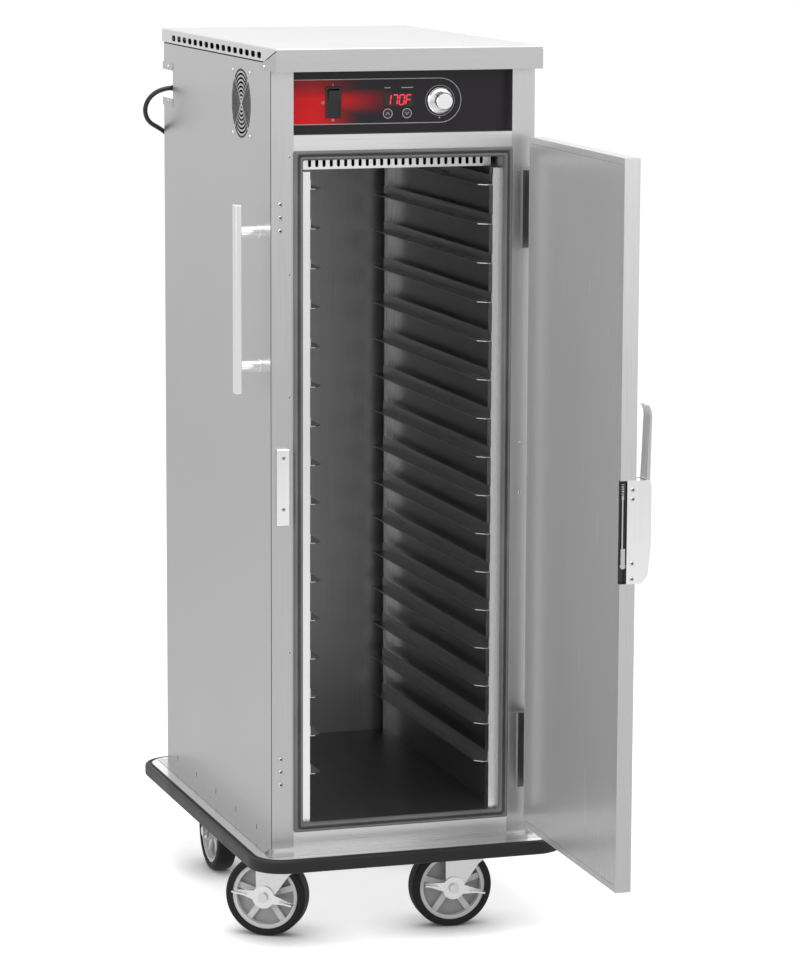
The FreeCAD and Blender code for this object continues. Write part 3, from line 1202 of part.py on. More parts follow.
def main():
    os.makedirs("parts", exist_ok=True)
    for name, shape in all_nodes().items():
        if not shape.isValid() or not shape.Solids:
            print("not a sound solid:", name)
        shape.exportStep("parts/%s.step" % name)
    print("pieces written:", len(os.listdir("parts")))


main()
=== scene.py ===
# %% [markdown]
# # A heated holding cabinet
# A tall insulated steel cabinet on casters, shown with its door open. The solids come from CAD as a
# fixed frame in metres, with +Z up and the door side facing -Y. This lesson gives them their finishes,
# adds the small pieces that CAD leaves out, and sets up the camera and the light.

# %% Load the frame
import json
import math
import bmesh
import bpy
from mathutils import Matrix, Vector


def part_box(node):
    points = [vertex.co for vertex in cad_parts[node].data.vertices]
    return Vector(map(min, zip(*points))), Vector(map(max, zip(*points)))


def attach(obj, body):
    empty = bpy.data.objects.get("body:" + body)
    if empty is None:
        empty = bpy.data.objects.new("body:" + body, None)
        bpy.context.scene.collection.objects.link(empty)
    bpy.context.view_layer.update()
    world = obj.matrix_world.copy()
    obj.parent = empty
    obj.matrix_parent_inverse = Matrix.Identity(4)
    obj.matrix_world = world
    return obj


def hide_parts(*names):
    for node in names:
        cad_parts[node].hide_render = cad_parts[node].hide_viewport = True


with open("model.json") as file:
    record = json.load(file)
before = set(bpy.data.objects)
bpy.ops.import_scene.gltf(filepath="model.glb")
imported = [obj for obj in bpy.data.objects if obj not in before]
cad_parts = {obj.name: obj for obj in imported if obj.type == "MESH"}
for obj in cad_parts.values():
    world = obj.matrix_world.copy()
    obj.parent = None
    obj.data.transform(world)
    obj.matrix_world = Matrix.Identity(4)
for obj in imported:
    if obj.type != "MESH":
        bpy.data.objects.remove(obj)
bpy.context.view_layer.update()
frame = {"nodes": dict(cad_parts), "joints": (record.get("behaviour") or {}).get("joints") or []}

node = frame["nodes"]

# %% [markdown]
# ## The camera
# The view is that of a long lens a little above the cabinet's top, looking slightly down, so that upright
# edges stay nearly upright. A shift of the lens could keep them quite upright, but every other view would
# then lose the cabinet from its middle. The place and the angles were worked out from straight edges of
# known size, so the camera is built from numbers and not aimed by eye.

# %% Place the camera
FRAME_H = 975
FOCAL_PX = 3952.91
YAW, PITCH, ROLL = 0.313551, 0.163269, 0.004126
CAMERA_AT = (-2.18084, -7.08405, 1.99173)
forward = Vector((math.sin(YAW) * math.cos(PITCH), math.cos(YAW) * math.cos(PITCH), -math.sin(PITCH)))
level = Vector((math.cos(YAW), -math.sin(YAW), 0.0))
upright = level.cross(forward)
right = level * math.cos(ROLL) + upright * math.sin(ROLL)
up = upright * math.cos(ROLL) - level * math.sin(ROLL)
lens = bpy.data.cameras.new("long_lens")
lens.sensor_width = 36.0
lens.lens = FOCAL_PX / FRAME_H * lens.sensor_width
lens.clip_end = 100.0
camera = bpy.data.objects.new("camera", lens)
turn = Matrix((right, up, -forward)).transposed()
camera.matrix_world = Matrix.Translation(CAMERA_AT) @ turn.to_4x4()
bpy.context.scene.collection.objects.link(camera)
bpy.context.scene.camera = camera
print("lens %.1f mm" % lens.lens)

# %% [markdown]
# ## Light and floor
# A studio shot of steel needs a wide pale surround, because steel shows what stands round it. The world
# is white where the camera or a reflection looks at it, and dimmer as a lamp. Three soft panels add
# direction. The floor is a pale matt plane with a slight glow, which fades close to whatever stands on it,
# so each wheel keeps a soft shadow where it touches.


# %% World, lamps and floor
def seen_directly(tree):
    """A factor that is one for camera, mirror and see-through rays."""
    path = tree.nodes.new("ShaderNodeLightPath")
    first = tree.nodes.new("ShaderNodeMath")
    second = tree.nodes.new("ShaderNodeMath")
    first.operation = second.operation = "MAXIMUM"
    tree.links.new(path.outputs["Is Camera Ray"], first.inputs[0])
    tree.links.new(path.outputs["Is Glossy Ray"], first.inputs[1])
    tree.links.new(first.outputs[0], second.inputs[0])
    tree.links.new(path.outputs["Is Transmission Ray"], second.inputs[1])
    return second.outputs[0]


world = bpy.data.worlds.new("studio")
bpy.context.scene.world = world
world.use_nodes = True
air = world.node_tree
lamp_white = air.nodes["Background"]
lamp_white.inputs["Color"].default_value = (1, 1, 1, 1)
lamp_white.inputs["Strength"].default_value = 0.55
seen_white = air.nodes.new("ShaderNodeBackground")
seen_white.inputs["Color"].default_value = (1, 1, 1, 1)
seen_white.inputs["Strength"].default_value = 1.1
choose = air.nodes.new("ShaderNodeMixShader")
air.links.new(seen_directly(air), choose.inputs["Fac"])
air.links.new(lamp_white.outputs[0], choose.inputs[1])
air.links.new(seen_white.outputs[0], choose.inputs[2])
air.links.new(choose.outputs[0], air.nodes["World Output"].inputs["Surface"])


def soft_panel(name, place, target, size, power):
    light = bpy.data.lights.new(name, "AREA")
    light.shape = "RECTANGLE"
    light.size, light.size_y = size
    light.energy = power
    lamp = bpy.data.objects.new(name, light)
    aim = (Vector(target) - Vector(place)).to_track_quat("-Z", "Y")
    lamp.matrix_world = Matrix.Translation(place) @ aim.to_matrix().to_4x4()
    bpy.context.scene.collection.objects.link(lamp)
    return lamp


soft_panel("panel_above", (-0.6, -0.8, 4.2), (0, 0, 0.8), (3.2, 3.2), 95)
soft_panel("panel_left", (-4.2, -2.2, 2.2), (0, -0.2, 0.9), (2.2, 3.0), 35)
soft_panel("panel_front", (1.6, -5.2, 2.4), (0, 0, 0.9), (2.4, 2.4), 10)


def combine(tree, operation, one, two):
    """A Math node on two values, each a number or a socket."""
    result = tree.nodes.new("ShaderNodeMath")
    result.operation = operation
    for socket, value in zip(result.inputs, (one, two)):
        if isinstance(value, float):
            socket.default_value = value
        else:
            tree.links.new(value, socket)
    return result.outputs[0]


GLOW_SHARE, SEEN_GLOW, MIRRORED_GLOW = 0.1, 6.2, 3.0
SHADOW_REACH, SHADOW_DEPTH = 0.11, 2.2
floor_mesh = bpy.data.meshes.new("floor")
floor_mesh.from_pydata([(-40, -40, 0), (40, -40, 0), (40, 40, 0), (-40, 40, 0)], [], [(0, 1, 2, 3)])
floor = bpy.data.objects.new("floor", floor_mesh)
bpy.context.scene.collection.objects.link(floor)
paper = bpy.data.materials.new("floor_paper")
paper.use_nodes = True
tree = paper.node_tree
matt = tree.nodes["Principled BSDF"]
matt.inputs["Base Color"].default_value = (0.86, 0.86, 0.86, 1)
matt.inputs["Roughness"].default_value = 1.0
matt.inputs["Specular IOR Level"].default_value = 0.0
glow = tree.nodes.new("ShaderNodeEmission")
glow.inputs["Color"].default_value = (1, 1, 1, 1)
path = tree.nodes.new("ShaderNodeLightPath")
closeness = tree.nodes.new("ShaderNodeAmbientOcclusion")
closeness.samples = 8
closeness.inputs["Distance"].default_value = SHADOW_REACH
open_sky = combine(tree, "POWER", closeness.outputs["AO"], SHADOW_DEPTH)
seen = combine(tree, "MULTIPLY", path.outputs["Is Camera Ray"], open_sky)
mirrored = combine(tree, "MULTIPLY", path.outputs["Is Glossy Ray"], MIRRORED_GLOW)
strength = combine(tree, "ADD", combine(tree, "MULTIPLY", seen, SEEN_GLOW), mirrored)
tree.links.new(strength, glow.inputs["Strength"])
dim = tree.nodes.new("ShaderNodeMixShader")
dim.inputs["Fac"].default_value = GLOW_SHARE
tree.links.new(matt.outputs[0], dim.inputs[1])
tree.links.new(glow.outputs[0], dim.inputs[2])
tree.links.new(dim.outputs[0], tree.nodes["Material Output"].inputs["Surface"])
floor_mesh.materials.append(paper)
bpy.context.scene.view_settings.view_transform = "Standard"
print("lamps:", len(bpy.data.lights), "floor:", floor.name)

# %% [markdown]
# ## The power cord
# A black mains lead leaves the pocket at the rear left corner, makes a small loop to the side, hangs down
# the back and ends on the ledge of the base. It is one smooth NURBS curve with a round bevel, on the
# same points as the CAD tube, so it hangs where the solid hangs but bends like rubber. A bevel of one with
# the cord's radius on each point gives the same tube as a small bevel would, and a true bounding box.

# %% Draw the cord
CORD_D = 0.009
CORD_ROUTE = [
    (-0.2125, 0.3260, 1.5115), (-0.2335, 0.3260, 1.5115), (-0.2560, 0.3285, 1.5107),
    (-0.2770, 0.3365, 1.5015), (-0.2895, 0.3480, 1.4830), (-0.2895, 0.3605, 1.4610),
    (-0.2770, 0.3740, 1.4420), (-0.2555, 0.3850, 1.4310), (-0.2335, 0.3925, 1.4160),
    (-0.2180, 0.3965, 1.3905), (-0.2085, 0.3975, 1.3485), (-0.2040, 0.3970, 1.2795),
    (-0.2024, 0.3952, 1.1675), (-0.2011, 0.3936, 1.0555), (-0.2005, 0.3921, 0.9435),
    (-0.2008, 0.3909, 0.8315), (-0.2019, 0.3900, 0.7195), (-0.2039, 0.3894, 0.6075),
    (-0.2065, 0.3889, 0.4955), (-0.2095, 0.3886, 0.3835), (-0.2090, 0.3886, 0.3135),
    (-0.2005, 0.3886, 0.2615), (-0.1795, 0.3887, 0.2215), (-0.1465, 0.3888, 0.1950),
    (-0.1045, 0.3889, 0.1828), (-0.0545, 0.3891, 0.1795), (0.0055, 0.3893, 0.1793),
    (0.0585, 0.3894, 0.1817), (0.1005, 0.3895, 0.1874), (0.1365, 0.3897, 0.1895),
    (0.1675, 0.3897, 0.1897)]
lead_curve = bpy.data.curves.new("mains_lead", "CURVE")
lead_curve.dimensions = "3D"
lead_curve.bevel_depth = 1.0
lead_curve.bevel_resolution = 5
lead_curve.resolution_u = 8
lead_curve.use_fill_caps = True
spline = lead_curve.splines.new("NURBS")
spline.points.add(len(CORD_ROUTE) - 1)
for point, place in zip(spline.points, CORD_ROUTE):
    point.co = (*place, 1.0)
    point.radius = CORD_D / 2
spline.order_u = 3
spline.use_endpoint_u = True
mains_lead = bpy.data.objects.new("mains_lead", lead_curve)
bpy.context.scene.collection.objects.link(mains_lead)
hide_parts("power_cord")
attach(mains_lead, "cabinet")
print("cord points:", len(CORD_ROUTE))

# %% [markdown]
# ## Finishes
# Most of the cabinet is stainless sheet. Its brushed grain is a noise that is stretched a hundredfold
# along the grain: it varies the roughness, tints the colour a little and gives a very low bump. A second,
# wide noise adds the soft patches that handling leaves. Grain follows the sheet, so it can run upright
# or across.


# %% Brushed steel
def new_finish(name):
    finish = bpy.data.materials.new(name)
    finish.use_nodes = True
    return finish, finish.node_tree, finish.node_tree.nodes["Principled BSDF"]


def add_noise(tree, scale, stretch=(1, 1, 1), detail=3.0):
    place = tree.nodes.new("ShaderNodeTexCoord")
    shape = tree.nodes.new("ShaderNodeMapping")
    shape.inputs["Scale"].default_value = stretch
    noise = tree.nodes.new("ShaderNodeTexNoise")
    noise.inputs["Scale"].default_value = scale
    noise.inputs["Detail"].default_value = detail
    tree.links.new(place.outputs["Object"], shape.inputs["Vector"])
    tree.links.new(shape.outputs["Vector"], noise.inputs["Vector"])
    return noise.outputs["Fac"]


def remap(tree, value, low, high, start=0.3, end=0.7):
    spread = tree.nodes.new("ShaderNodeMapRange")
    spread.inputs["From Min"].default_value = start
    spread.inputs["From Max"].default_value = end
    spread.inputs["To Min"].default_value = low
    spread.inputs["To Max"].default_value = high
    tree.links.new(value, spread.inputs["Value"])
    return spread.outputs["Result"]


def tint(tree, value, dark, light):
    ramp = tree.nodes.new("ShaderNodeValToRGB")
    ramp.color_ramp.elements[0].position = 0.25
    ramp.color_ramp.elements[0].color = (*dark, 1)
    ramp.color_ramp.elements[1].position = 0.75
    ramp.color_ramp.elements[1].color = (*light, 1)
    tree.links.new(value, ramp.inputs["Fac"])
    return ramp.outputs["Color"]


def add_bump(tree, shader, value, strength, distance):
    bump = tree.nodes.new("ShaderNodeBump")
    bump.inputs["Strength"].default_value = strength
    bump.inputs["Distance"].default_value = distance
    tree.links.new(value, bump.inputs["Height"])
    tree.links.new(bump.outputs["Normal"], shader.inputs["Normal"])


LINE_SHARE = 0.6
GRAIN = {"upright": (1, 1, 0.012), "across": (0.012, 1, 1), "deep": (1, 0.012, 1)}


def brushed_steel(name, grey, roughness, grain="upright", spread=0.05):
    finish, tree, shader = new_finish(name)
    shader.inputs["Metallic"].default_value = 1.0
    lines = add_noise(tree, 420, GRAIN[grain], 2.0)
    patches = add_noise(tree, 3.2, (1, 1, 1), 2.0)
    both = combine(tree, "ADD", combine(tree, "MULTIPLY", lines, LINE_SHARE),
                   combine(tree, "MULTIPLY", patches, 1.0 - LINE_SHARE))
    dark, light = grey * (1 - spread), grey * (1 + spread)
    colour = tint(tree, both, (dark, dark, dark), (light, light, light * 1.01))
    tree.links.new(colour, shader.inputs["Base Color"])
    rough = remap(tree, both, roughness * 0.85, roughness * 1.15)
    tree.links.new(rough, shader.inputs["Roughness"])
    add_bump(tree, shader, lines, 0.06, 0.0004)
    return finish


def dress(finish, *names):
    for name in names:
        mesh = node[name].data
        mesh.materials.clear()
        mesh.materials.append(finish)


# The plain stainless sheets here and further on are all one steel. Their greys are set face by face to how
# bright each face looks in this light, so the differences between them are painted light and shade: the
# fascia, the cap's own sheet folded down, is darker than the cap, and the liner and cavity floor darker
# still.
rail_sheet = brushed_steel("rail_sheet", 0.65, 0.30, "across")
dress(rail_sheet, "frame_rails")
fascia_sheet = brushed_steel("fascia_sheet", 0.46, 0.30, "across")
dress(fascia_sheet, "fascia")
dress(brushed_steel("cap_sheet", 0.66, 0.36, "across"), "top_cap")
door_sheet = brushed_steel("door_sheet", 0.67, 0.28, "upright", 0.03)
lining = brushed_steel("door_lining", 0.60, 0.24, "upright", 0.03)
lining.node_tree.nodes["Principled BSDF"].inputs["Metallic"].default_value = 0.35
dress(lining, "door_inner_panel")
dress(brushed_steel("liner_sheet", 0.30, 0.38, "upright", 0.1), "liner_walls")
dress(brushed_steel("floor_sheet", 0.17, 0.42, "deep", 0.1), "liner_panels")
dress(brushed_steel("rack_sheet", 0.78, 0.26, "upright"), "rack_uprights", "air_duct")
dress(brushed_steel("ledge_sheet", 0.46, 0.30, "deep"), "pan_slides")
dress(brushed_steel("pocket_sheet", 0.5, 0.32, "upright"), "cord_pocket")
dress(brushed_steel("plated_steel", 0.58, 0.28, "across"), "caster_plates", "fork_front_left",
      "fork_front_right", "rear_caster_forks", "axle_front_left", "axle_front_right", "rear_axles")
dress(brushed_steel("pressed_steel", 0.66, 0.30, "across"), "brake_lever_left", "brake_lever_right")
polished = brushed_steel("polished_fittings", 0.90, 0.14, "upright", 0.03)
dress(polished, "hinge_door_leaves", "strike_plate", "side_handles")
dress(brushed_steel("lever_chrome", 0.60, 0.12, "upright", 0.45), "latch_lever")
dress(brushed_steel("catch_steel", 0.55, 0.22, "upright", 0.1), "latch_catch")
dress(brushed_steel("knob_metal", 0.78, 0.16, "across", 0.04), "control_knob")
dress(brushed_steel("heater_metal", 0.16, 0.5, "deep", 0.2), "heating_element")
print("brushed finishes:", sum(1 for m in bpy.data.materials if m.use_nodes))

# %% [markdown]
# Some sheets are not one tone all over, and their darker places are painted shade. The cut edges of a thin
# sheet get painted shade that makes them dark beside its bright face, the lining of the latch channel lies
# in shadow that is painted nearly black, and the step of a hinge gets painted shade that makes it duller
# than its leaf. A mask can tell such places apart by where a point lies or which way it faces; it then
# multiplies the colour that the finish already has.


# %% Painted shade on a sheet
toned = set()
SOFT_EDGE = 0.0002


def darken(finish, mask, share):
    """Paints shade: multiplies the finish's colour by share where mask is one; a share above one lifts it
    back.
    """
    tree = finish.node_tree
    shader = tree.nodes["Principled BSDF"]
    source = shader.inputs["Base Color"].links[0].from_socket
    mix = tree.nodes.new("ShaderNodeMix")
    mix.data_type = "RGBA"
    mix.blend_type = "MULTIPLY"
    mix.inputs["B"].default_value = (share, share, share, 1)
    tree.links.new(mask(tree), mix.inputs["Factor"])
    tree.links.new(source, mix.inputs["A"])
    tree.links.new(mix.outputs["Result"], shader.inputs["Base Color"])
    toned.add(finish.name)
    return finish


def off_axis(axis):
    """One on faces that do not look along the axis, such as the cut edges of a sheet."""
    def mask(tree):
        facing = tree.nodes.new("ShaderNodeNewGeometry")
        parts = tree.nodes.new("ShaderNodeSeparateXYZ")
        size = tree.nodes.new("ShaderNodeMath")
        size.operation = "ABSOLUTE"
        tree.links.new(facing.outputs["True Normal"], parts.inputs[0])
        tree.links.new(parts.outputs[axis], size.inputs[0])
        return remap(tree, size.outputs[0], 1.0, 0.0, 0.4, 0.6)
    return mask


def beyond(axis, place, sign):
    """One where the coordinate is past the place, in the direction of the sign."""
    def mask(tree):
        where = tree.nodes.new("ShaderNodeTexCoord")
        parts = tree.nodes.new("ShaderNodeSeparateXYZ")
        tree.links.new(where.outputs["Object"], parts.inputs[0])
        low, high = (0.0, 1.0) if sign > 0 else (1.0, 0.0)
        return remap(tree, parts.outputs[axis], low, high, place - SOFT_EDGE, place + SOFT_EDGE)
    return mask


def between(axis, low, high):
    """One where the coordinate lies between two places."""
    def mask(tree):
        return combine(tree, "MULTIPLY", beyond(axis, low, 1)(tree), beyond(axis, high, -1)(tree))
    return mask


CHANNEL_END = 0.2243
HINGE_STEP = (0.2235, 0.2430)
# Painted shadow: the latch body is nearly black past CHANNEL_END, inside its channel.
latch_steel = brushed_steel("latch_steel", 0.90, 0.16, "upright", 0.03)
dress(darken(latch_steel, beyond("X", CHANNEL_END, -1), 0.06), "latch_body")
# Painted shade on the hinge leaf's step, between the places of HINGE_STEP.
hinge_steel = brushed_steel("hinge_steel", 0.50, 0.34, "upright")
dress(darken(hinge_steel, between("X", *HINGE_STEP), 0.42), "hinge_frame_leaves")
print("finishes with darker places:", sorted(toned))

# %% [markdown]
# Tall sheets grow duller towards the floor, where they mirror the shade round the base. The flanges of
# the door that face the cavity belong with the door's lining, so those faces of the shell share its finish.


# %% Tall sheets
SHADED_HEIGHTS = (0.15, 1.25)


def towards_floor(tree):
    """Rises softly from nothing at chest height to one at the base."""
    where = tree.nodes.new("ShaderNodeTexCoord")
    parts = tree.nodes.new("ShaderNodeSeparateXYZ")
    tree.links.new(where.outputs["Object"], parts.inputs[0])
    return remap(tree, parts.outputs["Z"], 1.0, 0.0, *SHADED_HEIGHTS)


dress(darken(brushed_steel("front_sheet", 0.51, 0.32, "upright"), towards_floor, 0.88), "front_posts")
side_sheet = darken(brushed_steel("side_sheet", 0.51, 0.34, "upright"), towards_floor, 0.73)
dress(side_sheet, "side_panel_right", "rear_panel")
pierced = darken(brushed_steel("pierced_sheet", 0.51, 0.34, "upright"), towards_floor, 0.73)
dress(darken(door_sheet, towards_floor, 0.64), "door_shell")
door_mesh = node["door_shell"].data
door_mesh.materials.append(lining)
for face in door_mesh.polygons:
    face.material_index = 1 if face.normal.x < -0.9 else 0
print("door faces with the lining's finish:", sum(face.material_index for face in door_mesh.polygons))

# %% [markdown]
# The fan outlet in the left side is a ring of bars. In its front and rear quarters the bars shade one
# another, which a mask by distance and direction from the fan's middle shows.


# %% The fan outlet
def centred(tree, middle):
    """The point's offset from a middle, as three values without their signs."""
    where = tree.nodes.new("ShaderNodeTexCoord")
    apart = tree.nodes.new("ShaderNodeVectorMath")
    size = tree.nodes.new("ShaderNodeVectorMath")
    parts = tree.nodes.new("ShaderNodeSeparateXYZ")
    apart.operation, size.operation = "SUBTRACT", "ABSOLUTE"
    apart.inputs[1].default_value = middle
    tree.links.new(where.outputs["Object"], apart.inputs[0])
    tree.links.new(apart.outputs["Vector"], size.inputs[0])
    tree.links.new(size.outputs["Vector"], parts.inputs[0])
    return parts.outputs


fan_low, fan_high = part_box("cooling_fan_frame")
OUTLET_R = 0.0585
QUARTER_SLOPE, QUARTER_BLUR = 0.45, 0.012


def beside_fan(tree):
    """One in the front and rear quarters of the fan outlet."""
    offset = centred(tree, (fan_low + fan_high) / 2)
    square = combine(tree, "ADD", combine(tree, "POWER", offset["Y"], 2.0),
                     combine(tree, "POWER", offset["Z"], 2.0))
    inside = remap(tree, square, 1.0, 0.0, OUTLET_R ** 2 - 0.0001, OUTLET_R ** 2)
    tilt = combine(tree, "SUBTRACT", offset["Y"], combine(tree, "MULTIPLY", offset["Z"], QUARTER_SLOPE))
    return combine(tree, "MULTIPLY", inside, remap(tree, tilt, 0.0, 1.0, 0.0, QUARTER_BLUR))


# Painted shade on the cut edges of the side's slots and notch, and in the front and rear quarters of the
# fan outlet.
dress(darken(darken(pierced, off_axis("X"), 0.06), beside_fan, 0.32), "side_panel_left")
print("outlet radius:", OUTLET_R)

# %% [markdown]
# The deck has a rolled rim along its edges that is painted brighter than the flat as a highlight, a thin
# painted shadow line where the rim drops, and a duller flat inside it. Two masks with slightly different
# margins leave the line between them: the first paints shade on all that is inside the rim, and the second
# brings the flat back up.

# %% The deck
deck_low, deck_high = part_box("base_deck")
RIM, LINE_OUT, LINE_IN, RIM_BLUR = 0.019, 0.002, 0.001, 0.0006


def inside_rim(margin):
    """One on the deck further in from its edges than the margin."""
    def mask(tree):
        offset = centred(tree, (deck_low + deck_high) / 2)
        half = (deck_high - deck_low) / 2
        inside = [remap(tree, offset[axis], 1.0, 0.0, reach - margin - RIM_BLUR, reach - margin + RIM_BLUR)
                  for axis, reach in (("X", half.x), ("Y", half.y))]
        return combine(tree, "MULTIPLY", *inside)
    return mask


# Painted highlight on the rim and a painted shadow line where it ends.
deck_sheet = darken(brushed_steel("deck_sheet", 0.82, 0.24, "across"), inside_rim(RIM - LINE_OUT), 0.45)
dress(darken(deck_sheet, inside_rim(RIM + LINE_IN), 1.62), "base_deck")
print("deck rim %.0f mm wide" % (RIM * 1000))

# %% [markdown]
# Rubber, moulded plastic and fibre board have no metal in them. Each gets its colour with a little
# variation, a roughness that changes over the surface and a fine bump: pebbled on rubber, even finer on
# moulded plastic.


# %% Rubber, plastic and board
def moulded(name, colour, roughness, pebble=900, bump=0.15, variation=0.25):
    finish, tree, shader = new_finish(name)
    fine = add_noise(tree, pebble, (1, 1, 1), 3.0)
    wide = add_noise(tree, 9, (1, 1, 1), 3.0)
    dark = tuple(c * (1 - variation) for c in colour)
    light = tuple(min(1.0, c * (1 + variation)) for c in colour)
    tree.links.new(tint(tree, wide, dark, light), shader.inputs["Base Color"])
    tree.links.new(remap(tree, wide, roughness * 0.88, roughness * 1.1), shader.inputs["Roughness"])
    add_bump(tree, shader, fine, bump, 0.0003)
    return finish


rubber_seal = moulded("seal_rubber_finish", (0.16, 0.161, 0.165), 0.55, 700, 0.2)
dress(rubber_seal, "door_gasket")


def dull(finish):
    """Takes down the sheen, which weathered rubber has little of."""
    finish.node_tree.nodes["Principled BSDF"].inputs["Specular IOR Level"].default_value = 0.25
    return finish


dress(dull(moulded("bumper_rubber", (0.017, 0.0175, 0.0185), 0.48, 600, 0.25)), "bumper")
tread = dull(moulded("tread_rubber", (0.007, 0.007, 0.0075), 0.6, 500, 0.3, 0.3))
for corner in ("front_left", "front_right", "rear_left", "rear_right"):
    dress(tread, "tyre_" + corner)
    low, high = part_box("hub_" + corner)
    joint = next(j for j in frame["joints"] if j["name"] == "wheel_%s_spin" % corner)
    axle = Vector(joint["axis"]).normalized()
    middle = (low + high) / 2

    def near_web(tree):
        """One within a few millimetres of the wheel's middle plane, where the thin web lies."""
        where = tree.nodes.new("ShaderNodeTexCoord")
        along = tree.nodes.new("ShaderNodeVectorMath")
        along.operation = "DOT_PRODUCT"
        along.inputs[1].default_value = axle
        tree.links.new(where.outputs["Object"], along.inputs[0])
        apart = tree.nodes.new("ShaderNodeMath")
        apart.operation = "SUBTRACT"
        apart.inputs[1].default_value = middle.dot(axle)
        tree.links.new(along.outputs["Value"], apart.inputs[0])
        size = tree.nodes.new("ShaderNodeMath")
        size.operation = "ABSOLUTE"
        tree.links.new(apart.outputs[0], size.inputs[0])
        return remap(tree, size.outputs[0], 1.0, 0.0, 0.0045, 0.0055)

    plastic = moulded("wheel_plastic_" + corner, (0.74, 0.74, 0.75), 0.38, 800, 0.12, 0.06)
    # The thin web between hub and rim gets painted shade, where it lies recessed between them.
    dress(darken(plastic, near_web, 0.52), "hub_" + corner)
black_moulding = moulded("black_moulding", (0.006, 0.006, 0.0065), 0.28, 900, 0.12)
dress(black_moulding, "switch_bezel", "rocker", "cooling_fan_frame", "cooling_fan_rotor", "cord_gland")
cord_rubber = moulded("cord_rubber", (0.005, 0.005, 0.006), 0.38, 700, 0.12)
dress(cord_rubber, "power_plug")
lead_curve.materials.append(cord_rubber)
dress(moulded("fibre_board", (0.22, 0.21, 0.19), 0.9, 260, 0.5, 0.2), "insulation", "door_core")
dress(moulded("circuit_board", (0.02, 0.13, 0.05), 0.35, 500, 0.1), "control_board")
dress(moulded("motor_paint", (0.03, 0.03, 0.034), 0.4, 700, 0.15), "blower_motor", "blower_wheel")
print("finishes so far:", len(bpy.data.materials))

# %% [markdown]
# ## The door seal
# The seal is one extruded rubber strip with two soft lips, cut and joined at the corners. A strip like
# that is a profile carried round a frame, so the mesh is made the same way: every point of the profile
# becomes a loop round the opening, and neighbouring loops are joined by faces.


# %% Sweep the seal round the opening
def new_piece(name, mesh_maker, body, finish, smooth=True):
    """Builds a mesh with the given function and hangs it on a body of the frame."""
    mesh = bpy.data.meshes.new(name)
    work = bmesh.new()
    mesh_maker(work)
    bmesh.ops.recalc_face_normals(work, faces=work.faces)
    work.to_mesh(mesh)
    work.free()
    piece = bpy.data.objects.new(name, mesh)
    bpy.context.scene.collection.objects.link(piece)
    mesh.materials.append(finish)
    if smooth:
        mesh.shade_smooth()
        mesh.set_sharp_from_angle(angle=math.radians(38))
    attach(piece, body)
    return piece


seal_low, seal_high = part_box("door_gasket")
SEAL_W = 0.0165
SEAL_H = seal_high.y - seal_low.y


def seal_profile():
    """Across the strip and out of the frame: a foot with two rounded lips and a valley between them."""
    half = [(0.0, 0.0), (0.0, 0.30), (0.06, 0.62), (0.10, 0.84), (0.16, 0.96), (0.23, 1.0), (0.30, 0.95),
            (0.36, 0.80), (0.40, 0.55), (0.45, 0.36), (0.5, 0.30)]
    whole = half + [(1 - a, b) for a, b in half[-2::-1]]
    return [(a * SEAL_W, b * SEAL_H) for a, b in whole]


def sweep_seal(work):
    rows = []
    corner = 0.004
    for across, out in seal_profile():
        loop = []
        left, base = seal_low.x + across, seal_low.z + across
        right_x, top = seal_high.x - across, seal_high.z - across
        for cx, cz, start in ((right_x, base, 270), (right_x, top, 0), (left, top, 90), (left, base, 180)):
            inside = (cx - math.copysign(corner, cx), cz + (corner if cz == base else -corner))
            for step in range(4):
                angle = math.radians(start + step * 30)
                loop.append(work.verts.new((inside[0] + corner * math.cos(angle), seal_high.y - out,
                                            inside[1] + corner * math.sin(angle))))
        rows.append(loop)
    for one, two in zip(rows, rows[1:] + rows[:1]):
        for i in range(len(one)):
            j = (i + 1) % len(one)
            work.faces.new((one[i], one[j], two[j], two[i]))


seal = new_piece("lip_seal", sweep_seal, "cabinet", rubber_seal)
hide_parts("door_gasket")
print("seal faces:", len(seal.data.polygons))

# %% [markdown]
# ## The control panel
# The panel is a dark film with a plain red glow that fades from its left end: a wash that fills the whole
# stripe and a brighter beam at half its height that reaches further. Both are painted by place, as ramps
# along X and Z that are multiplied, and the stronger of the two mixes red into the dark base.

# %% Paint the panel film
panel_low, panel_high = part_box("control_panel")
film, tree, shader = new_finish("panel_film")
place = tree.nodes.new("ShaderNodeTexCoord")
axes = tree.nodes.new("ShaderNodeSeparateXYZ")
tree.links.new(place.outputs["Object"], axes.inputs[0])


def ramp_between(tree, value, start, end, first, last):
    spread = tree.nodes.new("ShaderNodeMapRange")
    spread.interpolation_type = "SMOOTHSTEP"
    spread.inputs["From Min"].default_value = start
    spread.inputs["From Max"].default_value = end
    spread.inputs["To Min"].default_value = first
    spread.inputs["To Max"].default_value = last
    tree.links.new(value, spread.inputs["Value"])
    return spread.outputs["Result"]


def product(tree, first, *others):
    for other in others:
        first = combine(tree, "MULTIPLY", first, other)
    return first


